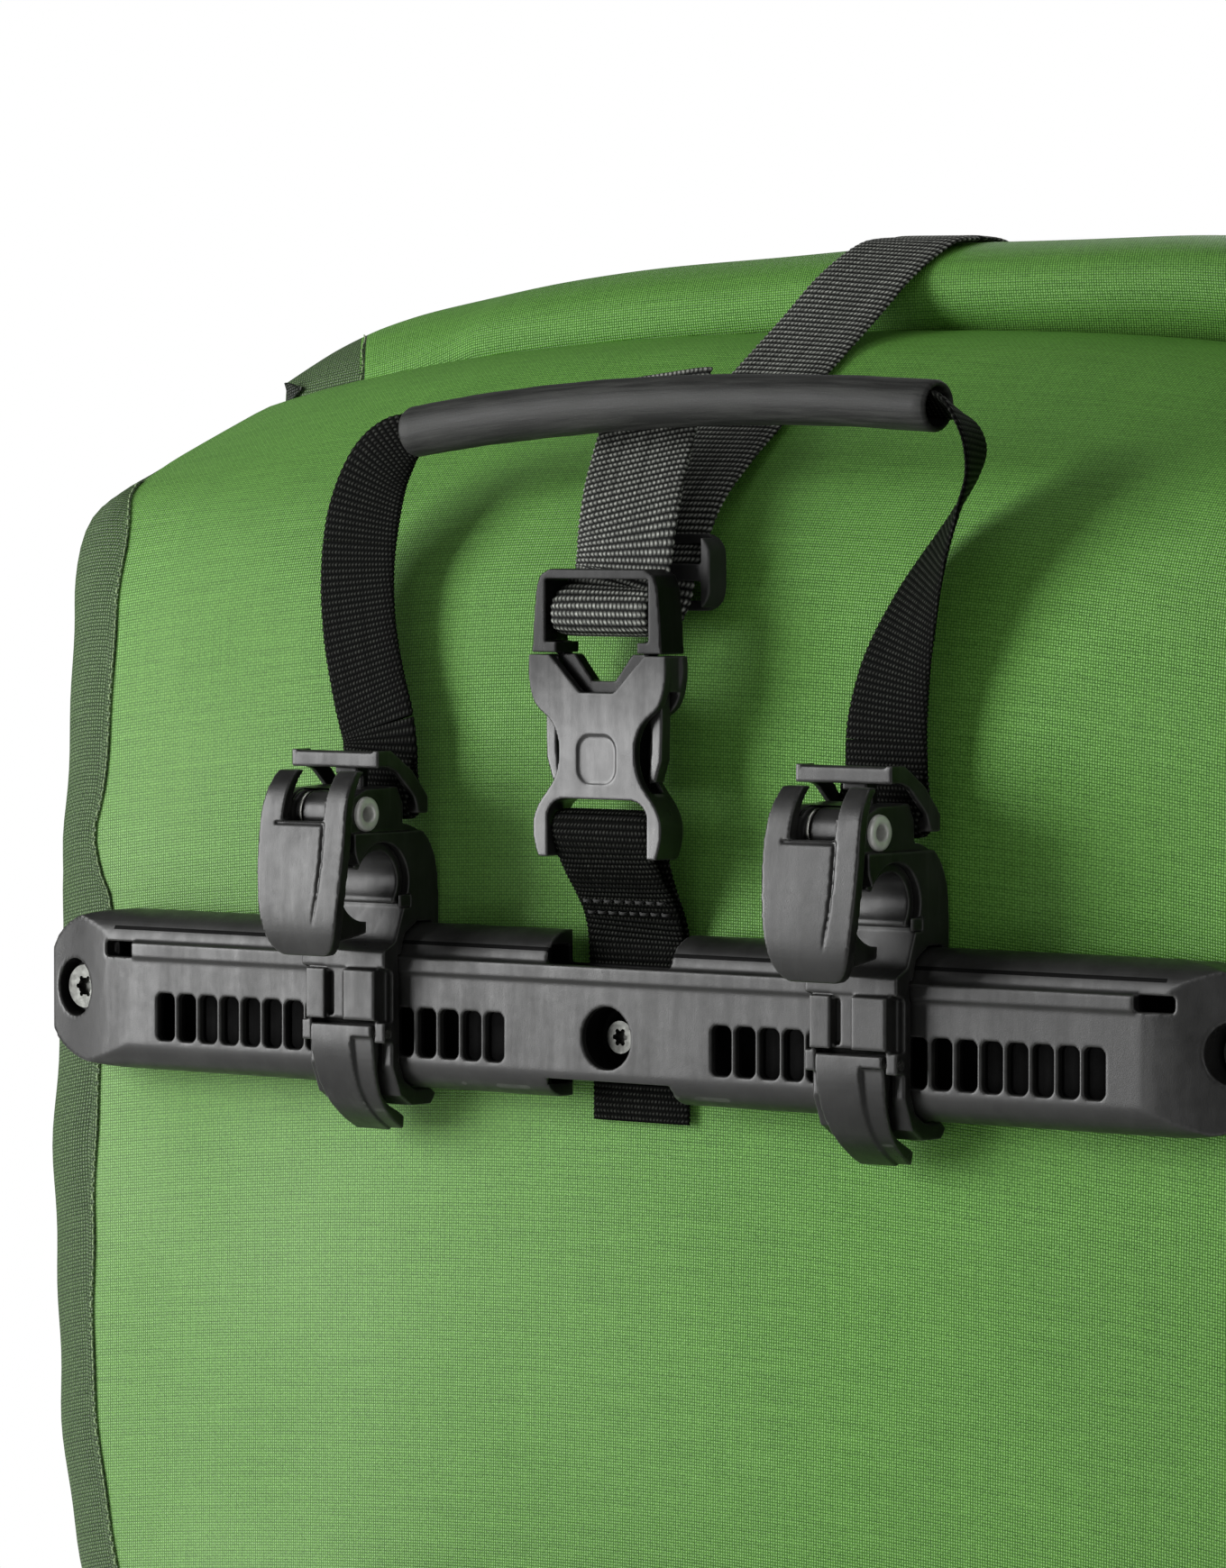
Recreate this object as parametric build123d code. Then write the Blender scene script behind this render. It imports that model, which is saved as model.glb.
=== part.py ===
from build123d import *

import math
import os

# Roll-top bicycle pannier, millimetres, +Z up, standing on its base.
# Everything is drawn in the rail's own frame: X along the rail, Y from the rail's face into the bag,
# Z up from the line of slot centres. place() then lifts it to the row frame.

# Bag
BAG_DEPTH = 170.0
PANEL_Y = 12.5  # outer face of the rear panel, where the rail's feet stand
FABRIC = 2.0  # wall of the body: coated fabric with its backing
SEAM_HALF = 146.0  # half width between the two gusset seams
BASE_Z = -258.0  # underside of the bag below the slot line
BODY_SECTIONS = (  # height, half width, setback from the full depth, corner radius
    (BASE_Z, 114.0, 8.0, 10.0),
    (BASE_Z + 10.0, 121.0, 0.0, 10.0),
    (-90.0, 168.0, 0.0, 10.0),
    (20.0, 168.0, 0.0, 10.0),
    (60.0, 166.0, 0.0, 10.0),
    (90.0, 165.0, 3.5, 11.0),
    (110.0, 161.0, 17.0, 12.0),
    (124.0, 157.0, 36.0, 12.0),
    (134.0, 150.0, 55.0, 12.0),
)
ROLL_HALF_LENGTH = 154.0
ROLL_BEND = 800.0  # radius of the roll's downward bow
ROLL_TOP_X = 40.0  # the bow is highest a little to the right
ROLL_Y = PANEL_Y + BAG_DEPTH / 2
ROLL_Z = 148.5
ROLL_HALF_DEPTH = 18.0
ROLL_HALF_HEIGHT = 13.4
STIFFENER = (10.0, 1.2)  # half depth and thickness of the strip in the roll
BACKER = (128.0, -180.0, 58.0, 1.6)  # half width, low z, high z and thickness of the inner plate

# Rail
RAIL_HALF = 157.0
RAIL_TOP = 22.0
RAIL_LOW = -11.7
RAIL_DEPTH = 9.5
RAIL_WALL = 2.8
RAIL_BACK = 1.2
LEDGE_Z = 15.4
BEAD_Z = 12.25
NOSE_START = 136.0
NOSE_SET_BACK = 3.9  # how far back the face lies at the end screws
SLOT_FIRST = 29.2
SLOT_PITCH = 6.0
SLOTS_PER_SIDE = 16
SLOT_W = 4.95
SLOT_H = 9.9
NOTCH = (128.5, 137.0)
CENTRE_CUT = 16.0
CENTRE_SCREW_Z = 1.1
END_SCREW = (148.8, 4.9)
BORE_R = 6.3
BORE_DEPTH = 7.2
END_BORE_DEPTH = 9.6
SHANK_R = 2.4
HEAD = 2.6  # height of a screw's head
CENTRE_HEAD_R = 3.3
END_HEAD_R = 4.6
NUT_R = 4.4

# Hooks
HOOK_X = SLOT_FIRST + 6 * SLOT_PITCH
HALF_BODY = 11.2
HALF_CHEEKS = 10.0  # the body is narrower above the throat, inside the yoke
CHEEKS_Z = 41.0
THROAT_Y = -5.4
THROAT_Z = 30.9
THROAT_R = 8.0
INSERT_R = 6.2  # takes a 12 mm rack tube
RIVET_Y = -9.4
RIVET_Z = 44.8
CHEEK_R = 5.0
SLEEVE_R = 4.7
LATCH_HALF = 11.6
SPRING_SEAT = (-5.4, -3.0)
LOCK_Y = -3.9
LOCK_Z = -0.4
GAP = 0.3

# Handle
WEB = 1.3
HANDLE_R = 5.2
HANDLE_BORE = 4.0
HANDLE_ENDS = ((-60.0, 122.8), (73.0, 127.2))
HANDLE_CREST = (6.0, 128.2)
HANDLE_Y = 12.0
HANDLE_SPLIT = 60.0  # height where each leg meets its sewn end loop
LEG_LEAN = 6.0

# Closure
STRAP_HALF = 12.5
STRAP = 1.6
STRAP_X = 4.0
BUCKLE_FACE = -3.0
BUCKLE_BACK = 4.5
JOIN_Z = 77.8
BUCKLE_TOP = 95.0
LEGS_Z = 37.3

# Lower rail and anchor hook
LOWER_Z = -130.0
LOWER_HALF = 75.0
STRUT_R = 7.2
STRUT_Y = -9.7

LATCH_REACH = -19.2  # front of the closed latches, the part's rearmost point
STRAP_FRONT = PANEL_Y + BAG_DEPTH + 2.4
Y_SHIFT = -(LATCH_REACH + STRAP_FRONT) / 2


def place(shape):
    return Pos(0, Y_SHIFT, -BASE_Z) * shape


def box(x0, x1, y0, y1, z0, z1):
    return Pos((x0 + x1) / 2, (y0 + y1) / 2, (z0 + z1) / 2) * Box(x1 - x0, y1 - y0, z1 - z0)


def rod_x(y, z, r, x0, x1):
    return Pos((x0 + x1) / 2, y, z) * Rot(0, 90, 0) * Cylinder(r, x1 - x0)


def rod_y(x, z, r, y0, y1):
    return Pos(x, (y0 + y1) / 2, z) * Rot(90, 0, 0) * Cylinder(r, y1 - y0)


def side_profile(points, half):
    """A (y, z) outline drawn out to +half and -half along X."""
    face = Plane.YZ.offset(-half) * make_face(Polyline(*points, close=True))
    return extrude(face, 2 * half)


def curved_plate(front, back, half):
    """The space between two smooth (y, z) curves, drawn out to +half and -half along X."""
    edges = [Spline(*front), Line(front[-1], back[-1]), Spline(*back), Line(back[0], front[0])]
    return extrude(Plane.YZ.offset(-half) * make_face(edges), 2 * half)


def front_profile(points, y0, y1):
    """An (x, z) outline drawn out from y0 to y1."""
    plane = Plane((0, y0, 0), x_dir=(1, 0, 0), z_dir=(0, -1, 0))
    return extrude(plane * make_face(Polyline(*points, close=True)), -(y1 - y0))


def mirrored(points):
    """A right-hand outline closed by its mirror image about x = 0."""
    return [*points, *((-x, z) for x, z in reversed(points) if x)]


def ribbon(points, radius, thickness, half, x=0.0):
    """Flat webbing that follows a (y, z) route with rounded corners."""
    route = FilletPolyline(*points, radius=radius)
    face = Plane.YZ.offset(x - half) * trace(route, thickness)
    return extrude(face, 2 * half)


# ---- bag ----


def body_block(inset):
    sections = []
    for z, half, setback, corner in BODY_SECTIONS:
        height = min(max(z, BASE_Z + inset), BODY_SECTIONS[-1][0] - inset)
        plane = Plane((0, PANEL_Y + BAG_DEPTH / 2, height))
        depth = BAG_DEPTH - 2 * (setback + inset)
        sections.append(plane * RectangleRounded(2 * (half - inset), depth, corner - inset))
    return Solid.make_loft([s.face().outer_wire() for s in sections], ruled=True)


def seam_prism():
    outline = mirrored([(104, BASE_Z - 5), (SEAM_HALF, -90), (SEAM_HALF, 136)])
    return front_profile(outline, PANEL_Y - 5, PANEL_Y + BAG_DEPTH + 5)


def roll_segment(grow, half_length, section):
    """A section at the top of the roll's bow, swept out to both ends about the bow's centre."""
    axis = Axis((ROLL_TOP_X, 0, ROLL_Z - ROLL_BEND), (0, 1, 0))
    reach = half_length + grow
    left = math.degrees(math.asin((reach + ROLL_TOP_X) / ROLL_BEND))
    right = math.degrees(math.asin((reach - ROLL_TOP_X) / ROLL_BEND))
    return revolve(section.rotate(axis, -left), axis, left + right)


def roll_section(grow):
    return Plane((ROLL_TOP_X, ROLL_Y, ROLL_Z), x_dir=(0, 1, 0), z_dir=(1, 0, 0)) * Ellipse(
        ROLL_HALF_DEPTH + grow, ROLL_HALF_HEIGHT + grow
    )


def strip_section(grow):
    plane = Plane((ROLL_TOP_X, ROLL_Y, ROLL_Z), x_dir=(0, 1, 0), z_dir=(1, 0, 0))
    return plane * Rectangle(2 * (STIFFENER[0] + grow), STIFFENER[1] + 2 * grow)


def roll_top():
    pocket = roll_segment(0, ROLL_HALF_LENGTH - 6, strip_section(0.15))
    return roll_segment(0, ROLL_HALF_LENGTH, roll_section(0)) - pocket


def roll_stiffener():
    return roll_segment(0, ROLL_HALF_LENGTH - 7, strip_section(0))


def screw_points():
    return [(0, CENTRE_SCREW_Z), (-END_SCREW[0], END_SCREW[1]), (END_SCREW[0], END_SCREW[1])]


def body_panels():
    """The body's shell, cut along its seams into the pieces that are sewn together."""
    shell = body_block(0) - body_block(FABRIC)
    shell -= roll_segment(0.3, ROLL_HALF_LENGTH, roll_section(0.3))
    for x, z in screw_points():
        shell -= rod_y(x, z, SHANK_R + 0.1, PANEL_Y - 1, PANEL_Y + FABRIC + 1)
    for x in (-LOWER_HALF + 12, LOWER_HALF - 12):
        shell -= rod_y(x, LOWER_Z, 1.9, PANEL_Y - 1, PANEL_Y + FABRIC + 1)
    for x, z in screw_points()[1:]:
        shell -= rod_y(x, z, NUT_R + 0.1, PANEL_Y + FABRIC, PANEL_Y + FABRIC + 4)
    middle = PANEL_Y + BAG_DEPTH / 2
    seams = seam_prism()
    floor = box(-200, 200, 0, 200, BASE_Z - 1, BASE_Z + 10)
    centre = shell & seams
    sides = shell - seams
    return {
        "rear_panel": (centre - floor) & box(-200, 200, 0, middle, BASE_Z - 1, 200),
        "front_panel": (centre - floor) & box(-200, 200, middle, 200, BASE_Z - 1, 200),
        "base_panel": centre & floor,
        "side_gusset_left": sides & box(-200, 0, 0, 200, BASE_Z - 1, 200),
        "side_gusset_right": sides & box(0, 200, 0, 200, BASE_Z - 1, 200),
    }


def backer_plate():
    half, low, high, thick = BACKER
    taper = 28.0
    outline = mirrored([(half - taper, low), (half, -60), (half, high - 12), (half - 12, high)])
    plate = front_profile(outline, PANEL_Y + FABRIC, PANEL_Y + FABRIC + thick)
    for x, z in screw_points()[:1]:
        plate -= rod_y(x, z, SHANK_R + 0.1, PANEL_Y, PANEL_Y + 6)
    for x in (-LOWER_HALF + 12, LOWER_HALF - 12):
        plate -= rod_y(x, LOWER_Z, 1.9, PANEL_Y, PANEL_Y + 6)
    return plate


# ---- rail and its screws ----


def rail_section():
    edges = [
        Line((RAIL_DEPTH, RAIL_LOW), (RAIL_DEPTH, RAIL_TOP)),
        Line((RAIL_DEPTH, RAIL_TOP), (7.0, RAIL_TOP)),
        ThreePointArc((7.0, RAIL_TOP), (2.6, 19.8), (0.6, LEDGE_Z)),
        Line((0.6, LEDGE_Z), (-0.5, LEDGE_Z)),
        Line((-0.5, LEDGE_Z), (-0.5, BEAD_Z)),
        Line((-0.5, BEAD_Z), (0, BEAD_Z)),
        Line((0, BEAD_Z), (0, -5.5)),
        ThreePointArc((0, -5.5), (1.6, -9.6), (5.4, RAIL_LOW)),
        Line((5.4, RAIL_LOW), (RAIL_DEPTH, RAIL_LOW)),
    ]
    return make_face(edges)


def rail_outline():
    """The rail from the front: straight edges with long, low corners at its ends."""
    low = RAIL_HALF - 23
    right = [
        Line((0, RAIL_TOP), (low, RAIL_TOP)),
        Bezier((low, RAIL_TOP), (RAIL_HALF - 4, RAIL_TOP - 0.5), (RAIL_HALF, RAIL_TOP - 9)),
        Line((RAIL_HALF, RAIL_TOP - 9), (RAIL_HALF, RAIL_LOW + 7.5)),
        Bezier((RAIL_HALF, RAIL_LOW + 7.5), (RAIL_HALF - 4, RAIL_LOW + 0.4), (low, RAIL_LOW)),
        Line((low, RAIL_LOW), (0, RAIL_LOW)),
    ]
    return right + [mirror(edge, Plane.YZ) for edge in right]


def rail():
    length = 2 * RAIL_HALF
    blank = extrude(Plane.YZ.offset(-RAIL_HALF) * rail_section(), length)
    channel = box(-NOSE_START, NOSE_START, RAIL_WALL, RAIL_DEPTH - RAIL_BACK, RAIL_LOW + 2.8, RAIL_TOP - 2.8)
    blank -= channel
    for side in (-1, 1):
        x0, x1 = sorted((side * (NOSE_START + 2), side * RAIL_HALF))
        blank += box(x0, x1, RAIL_DEPTH, PANEL_Y, RAIL_LOW, RAIL_TOP)
    plane = Plane((0, -2, 0), x_dir=(1, 0, 0), z_dir=(0, -1, 0))
    blank &= extrude(plane * make_face(rail_outline()), -(PANEL_Y + 3))
    nose = [(NOSE_START - 6, 0), (NOSE_START + 1, 0.9), (END_SCREW[0], NOSE_SET_BACK), (RAIL_HALF + 4, 6.6)]
    for side in (-1, 1):
        curve = Spline(*((side * x, y) for x, y in nose))
        rest = Polyline(curve @ 1, (side * (RAIL_HALF + 4), -2), (side * nose[0][0], -2), curve @ 0)
        blank -= extrude(Plane.XY.offset(-40) * make_face([curve, *rest.edges()]), 80)
    blank += rod_y(0, CENTRE_SCREW_Z, 8.6, 1, RAIL_DEPTH + 0.6)
    for z0, z1, y0 in ((LEDGE_Z, 30, 0.4), (-30, -7.0, 0.8)):
        blank -= box(-CENTRE_CUT, CENTRE_CUT, y0, 20, z0, z1)
    blank -= rod_y(0, CENTRE_SCREW_Z, BORE_R, -1, BORE_DEPTH)
    for x, z in screw_points():
        blank -= rod_y(x, z, SHANK_R + 0.05, -1, 20)
    for side in (-1, 1):
        blank -= rod_y(side * END_SCREW[0], END_SCREW[1], 6.1, -1, END_BORE_DEPTH)
        blank -= box(*sorted((side * NOTCH[0], side * NOTCH[1])), -2, 4, BEAD_Z, LEDGE_Z)
    slot = extrude(
        Plane((0, -1, 0), x_dir=(1, 0, 0), z_dir=(0, -1, 0)) * RectangleRounded(SLOT_W, SLOT_H, 1.3), -6
    )
    slots = [
        Pos(side * (SLOT_FIRST + k * SLOT_PITCH), 0, 0) * slot
        for side in (-1, 1)
        for k in range(SLOTS_PER_SIDE)
    ]
    return blank - slots


def torx_screw(x, z, head_y, head_r, shank_r, length):
    screw = rod_y(x, z, head_r, head_y, head_y + HEAD) + rod_y(x, z, shank_r, head_y + HEAD, head_y + length)
    screw -= rod_y(x, z, head_r * 0.4, head_y - 1, head_y + 1.7)
    for k in range(6):
        turn = math.radians(60 * k)
        lobe = head_r * 0.42
        screw -= rod_y(x + lobe * math.cos(turn), z + lobe * math.sin(turn), 0.5, head_y - 1, head_y + 1.7)
    return screw


def rail_screws():
    (cx, cz), *ends = screw_points()
    screws = [torx_screw(cx, cz, BORE_DEPTH - HEAD, CENTRE_HEAD_R, SHANK_R, 15.6)]
    screws += [torx_screw(x, z, END_BORE_DEPTH - HEAD, END_HEAD_R, SHANK_R, 13.2) for x, z in ends]
    return Compound(children=[s.solid() for s in screws])


def rail_nuts():
    nuts = []
    for index, (x, z) in enumerate(screw_points()):
        y0 = PANEL_Y + FABRIC + (BACKER[3] if index == 0 else 0)
        nut = rod_y(x, z, NUT_R, y0, y0 + 3.4) - rod_y(x, z, SHANK_R + 0.02, y0 - 1, y0 + 5)
        nuts.append(nut.solid())
    return Compound(children=nuts)


# ---- one hook, drawn about x = 0 ----


def carriage():
    back = Spline((2.4, 42.4), (7.6, 40.6), (10.6, 36.4), (11.9, 31.0), (12.1, 26.0))
    outline = Polyline(
        (12.1, 26.0), (12.1, 14.0), (9.9, 14.0), (9.9, 22.4), (5.4, 22.4), (1.4, 19.9), (0.2, 15.8),
        (-0.85, 15.8), (-0.85, 11.9), (-GAP, 11.8), (-GAP, -5.9), (1.1, -10.0), (4.6, -12.1), (9.7, -12.1),
        (11.1, -13.4), (9.6, -15.4), (3.5, -15.4), (0.0, -13.2), (-2.6, -7.0), (-2.6, 12.3), (-5.2, 13.2),
        (-5.2, 16.6), (-1.6, 18.4), (THROAT_Y + 6.6, THROAT_Z - 5.2), (THROAT_Y, THROAT_Z), (-12.6, 34.2),
        (-14.0, 37.0), (-14.4, 44.8), (-13.2, 48.2), (-9.4, 49.8), (0.5, 50.2), (2.2, 47.0), (2.4, 42.4),
    )
    block = extrude(Plane.YZ.offset(-HALF_BODY) * make_face([back, *outline.edges()]), 2 * HALF_BODY)
    for side in (-1, 1):
        x0, x1 = sorted((side * HALF_CHEEKS, side * (HALF_BODY + 1)))
        block -= box(x0, x1, -20, 20, CHEEKS_Z, 60)
    block -= rod_x(THROAT_Y, THROAT_Z, THROAT_R, -20, 20)
    block -= rod_x(RIVET_Y, RIVET_Z, CHEEK_R, -6.9, 6.9)
    block -= box(-6.9, 6.9, -20, RIVET_Y, 39.4, 52)
    block -= rod_x(RIVET_Y, RIVET_Z, 2.4, -20, 20)
    block -= box(-3.3, 3.3, -2.6, -0.1, 40.0, 55)
    block -= box(-HALF_BODY, -HALF_BODY + 0.8, 0, 3.3, 25.3, 28.1)
    block -= box(HALF_BODY - 0.8, HALF_BODY, 0, 3.3, 25.3, 28.1)
    block -= box(-8.3, 8.3, -12, -1.9, -16, 1.9)
    catch = box(-9.4, -4.4, -6.0, -2.6, 2.4, 12.6) + box(-4.6, 1.2, -5.0, -2.6, 2.4, 14.0)
    catch += box(1.0, 9.4, -6.4, -2.6, 2.4, 12.8)
    catch -= box(-4.4, -2.8, -7, -3.4, 3.2, 12.0) + box(0.4, 1.0, -7, -4.4, 2.0, 12.0)
    block += catch
    for side in (-1, 1):
        x0, x1 = sorted((side * 8.5, side * HALF_BODY))
        block += box(x0, x1, -5.2, -2.0, -2.2, 2.0)
    block -= rod_x(LOCK_Y, LOCK_Z, 0.9, -20, 20)
    return block


def latch_outline():
    """The flap's outline from the front, wide at the top and rounded in at the bottom."""
    right = Spline((4.2, 15.7), (7.8, 17.4), (9.9, 22.0), (11.0, 29.0), (LATCH_HALF, 40.0), (10.6, 53.6))
    left = mirror(right, Plane.YZ)
    edges = [right, Line(right @ 1, left @ 1), left, Line(left @ 0, right @ 0)]
    return Plane((0, -30, 0), x_dir=(1, 0, 0), z_dir=(0, -1, 0)), edges


def latch():
    face = [(-12.9, 53.5), (-16.5, 48.2), (-18.1, 40.0), (LATCH_REACH, 28.0), (-18.9, 21.0), (-17.2, 15.9)]
    inside = [(y + 2.5, z + 0.2) for y, z in face]
    plane, edges = latch_outline()
    outline = extrude(plane * make_face([Plane.XY * e for e in edges]), -30)
    shield = curved_plate(face, inside, LATCH_HALF) & outline
    skin = curved_plate([(y - 1, z) for y, z in face], [(y + 0.4, z) for y, z in face], 8)
    crease = [
        (5.3, 43.2), (6.1, 43.2), (6.1, 35.0), (5.5, 29.0), (4.0, 22.0), (3.6, 22.2), (4.8, 29.2), (5.3, 35.0),
    ]
    shield -= skin & front_profile(crease, -30, 0)
    shield -= box(-5.5, 5.5, -30, -8, 43.4, 60)
    shield -= skin & box(-7.4, 6.1, -30, 0, 42.5, 43.4)
    for x0, x1 in ((-6.7, -5.6), (4.2, 6.7)):
        shield += box(x0, x1, -15.6, RIVET_Y, 41.2, 47.6)
    barrel = rod_x(RIVET_Y, RIVET_Z, SLEEVE_R, -6.6, 6.6)
    barrel -= rod_x(RIVET_Y, RIVET_Z, SLEEVE_R + 1, *SPRING_SEAT) - rod_x(RIVET_Y, RIVET_Z, 3.6, *SPRING_SEAT)
    claw = side_profile([(-17.2, 18.0), (-5.2, 20.2), (-4.8, 26.0), (-16.2, 32.0)], 6.6)
    claw -= rod_x(THROAT_Y, THROAT_Z, 8.3, -20, 20)
    return shield + barrel + claw - rod_x(RIVET_Y, RIVET_Z, 2.45, -20, 20)


def latch_spring():
    wire = 0.4
    coil = Helix(pitch=0.95, height=1.0, radius=4.1)
    section = Plane(coil @ 0, z_dir=coil % 0) * Circle(wire)
    turns = sweep(section, coil, is_frenet=True)
    return Pos(SPRING_SEAT[0] + 0.6, RIVET_Y, RIVET_Z) * Rot(0, 90, 0) * turns


def rivet():
    body = rod_x(RIVET_Y, RIVET_Z, 2.4, -HALF_CHEEKS, HALF_CHEEKS)
    for side in (-1, 1):
        x0, x1 = sorted((side * HALF_CHEEKS, side * (HALF_CHEEKS + 0.8)))
        body += rod_x(RIVET_Y, RIVET_Z, 3.45, x0, x1)
    return body - rod_x(RIVET_Y, RIVET_Z, 1.5, -20, 20)


def tube_insert():
    ring = rod_x(THROAT_Y, THROAT_Z, THROAT_R, -9.6, 9.6) - rod_x(THROAT_Y, THROAT_Z, INSERT_R, -20, 20)
    keep = side_profile(
        [(THROAT_Y, THROAT_Z), (THROAT_Y + 12, THROAT_Z - 7.0), (12, 50), (-25, 50), (-25, THROAT_Z + 8.5)], 12
    )
    ring &= keep
    lugs = box(-HALF_BODY, HALF_BODY, 0.05, 3.25, 25.4, 28.0)
    lugs -= box(-HALF_BODY + 0.75, HALF_BODY - 0.75, 0, 4, 25, 29)
    foot = box(-9.6, 9.6, -0.4, 1.2, 26.2, 28.0) & rod_x(THROAT_Y, THROAT_Z, THROAT_R, -20, 20)
    return ring + (foot - rod_x(THROAT_Y, THROAT_Z, INSERT_R, -20, 20)) + lugs


def yoke():
    leg = [
        (-7.6, 57.6), (-3.2, 57.6), (3.4, 53.4), (8.4, 48.0), (8.4, 44.5), (5.2, 44.5), (4.0, 48.0),
        (-1.6, 53.2), (-4.6, 54.2), (-7.6, 54.2),
    ]
    frame = side_profile(leg, 11.7) - box(-10.3, 10.3, -20, 20, 40, 60)
    frame += side_profile([(-7.6, 54.0), (-7.6, 57.0), (-7.0, 57.6), (-2.6, 56.4), (-3.2, 54.6)], 11.7)
    frame += side_profile([(4.6, 44.5), (4.6, 47.3), (7.0, 47.3), (7.0, 44.5)], 11.0)
    frame += box(-3.0, 3.0, -4.0, -0.4, 52.6, 55.4)
    frame += box(-3.0, 3.0, -2.3, -0.4, 40.4, 53.0)
    return frame


def lock_lever():
    outer = [
        (-5.9, 1.4), (-6.0, -1.0), (-5.2, -7.0), (-3.7, -11.6), (-1.0, -15.6), (2.6, -18.8), (6.6, -21.2),
    ]
    inner = [
        (-4.4, 1.4), (-3.2, 0.2), (-3.0, -8.0), (-1.6, -12.2), (0.6, -14.8), (3.6, -16.4), (6.6, -18.0),
    ]
    side = Spline(*inner[2:])
    edges = [Polyline(outer[0], *inner[:3]), side, Line(side @ 1, outer[-1]), Spline(*outer)]
    blade = extrude(Plane.YZ.offset(-8.1) * make_face([e for part in edges for e in part.edges()]), 16.2)
    front = mirrored([(6.2, -23), (6.6, -18), (7.6, -10), (8.1, -4), (8.1, 2)])
    lever = blade & front_profile(front, -8, 10)
    step = curved_plate([(y - 1, z) for y, z in outer[1:]], [(y + 0.7, z) for y, z in outer[1:]], 3)
    lever -= step.moved(Location((5.8, 0, 0)))
    return lever - rod_x(LOCK_Y, LOCK_Z, 0.95, -20, 20)


def lock_pin():
    return rod_x(LOCK_Y, LOCK_Z, 0.9, -HALF_BODY, HALF_BODY)


def webbing_loop():
    outer = [(3.3, 43.3), (8.3, 43.3), (8.3, 51.0), (6.7, HANDLE_SPLIT), (5.2, HANDLE_SPLIT), (3.3, 51.0)]
    inner = [(4.5, 44.4), (7.1, 44.4), (7.1, 50.4), (6.1, 55.0), (5.6, 55.0), (4.5, 50.4)]
    return side_profile(outer, 9.9) - side_profile(inner, 12)


HOOK_PARTS = {
    "carriage": carriage,
    "latch": latch,
    "latch_spring": latch_spring,
    "rivet": rivet,
    "tube_insert": tube_insert,
    "yoke": yoke,
    "lock_lever": lock_lever,
    "lock_pin": lock_pin,
    "webbing_loop": webbing_loop,
}


# ---- carrying handle ----


def handle_route():
    (x0, z0), (x1, z1) = HANDLE_ENDS
    crest_x, crest_z = HANDLE_CREST
    return ThreePointArc((x0, HANDLE_Y, z0), (crest_x, HANDLE_Y, crest_z), (x1, HANDLE_Y, z1))


def handle_tube():
    route = handle_route()
    plane = Plane(route @ 0, z_dir=route % 0)
    return sweep(plane * Circle(HANDLE_R), route) - sweep(plane * Circle(HANDLE_BORE), route)


def handle_leg(points):
    """One flat leg, drawn upright from the split height and leaned back over the bag."""
    leg = front_profile([(x, z - HANDLE_SPLIT) for x, z in points], -WEB / 2, WEB / 2)
    return Pos(0, 5.9, HANDLE_SPLIT + 0.1) * Rot(-LEG_LEAN, 0, 0) * leg


def handle_webbing():
    route = handle_route()
    core = sweep(Plane(route @ 0, z_dir=route % 0) * Circle(3.2), route)
    left = [
        (-HOOK_X - 9.9, HANDLE_SPLIT), (-80, 78), (-83, 95), (-81, 110), (-72, 121), (-59.0, 125.9),
        (-59.0, 119.8), (-61.5, 119), (-64, 114), (-64, 95), (-60, 76), (-HOOK_X + 9.9, HANDLE_SPLIT),
    ]
    right = [
        (HOOK_X - 9.9, HANDLE_SPLIT), (57, 78), (66, 100), (74, 112), (74.2, 122), (72.0, 124.4), (72.0, 130.2),
        (80, 128), (83, 118), (80, 105), (76, 84), (HOOK_X + 9.9, HANDLE_SPLIT),
    ]
    return core + handle_leg(left) + handle_leg(right)


# ---- closure strap and buckle ----


def closure_strap():
    front_y = PANEL_Y + BAG_DEPTH
    route = [
        (front_y + 1.6, 30), (front_y + 1.6, 62), (front_y - 2.0, 91), (front_y - 15, 112),
        (front_y - 34, 126), (ROLL_Y + 33, 139), (ROLL_Y + 15, 160.6), (ROLL_Y, ROLL_Z + 15.2),
        (ROLL_Y - 15, 160.6), (ROLL_Y - 33, 139), (47, 127), (27.5, 116), (11.4, 107.5), (11.4, 86.5),
        (9.0, 84.6), (6.2, 84.6),
    ]
    radii = [20, 20, 20, 20, 12, 12, 20, 12, 12, 20, 16, 8, 2.0, 1.2]
    return ribbon(route, radii, STRAP, STRAP_HALF, STRAP_X)


def strap_tail():
    route = [(3.4, 90.2), (5.9, 93.2), (6.3, 101), (15, 115), (22.5, 124), (28.5, 134.5)]
    return ribbon(route, [2, 8, 20, 20], STRAP, STRAP_HALF)


def strap_bight():
    """The turn of webbing round the buckle's bar."""
    return box(-12.4, 12.4, -2.2, 4.2, 82.6, 89.4) - box(-20, 20, -0.5, 2.5, 84.4, 87.6)


def strap_slider():
    outer = Plane((4, 8.6, 94.3), x_dir=(1, 0, 0), z_dir=(0, -1, 0)) * RectangleRounded(31.0, 15.4, 4.5)
    frame = extrude(outer, -5.8)
    frame -= box(-9.2, 17.2, 8, 15, 88.6, 100.0)
    frame -= box(-9.2, 17.2, 8, 12.6, 80, 110)
    return frame + box(-9.5, 17.5, 8.6, 10.2, 92.6, 96.0)


def strap_anchor_patch():
    y = PANEL_Y + BAG_DEPTH
    return box(STRAP_X - 18, STRAP_X + 18, y, y + 0.8, 24, 56)


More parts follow.
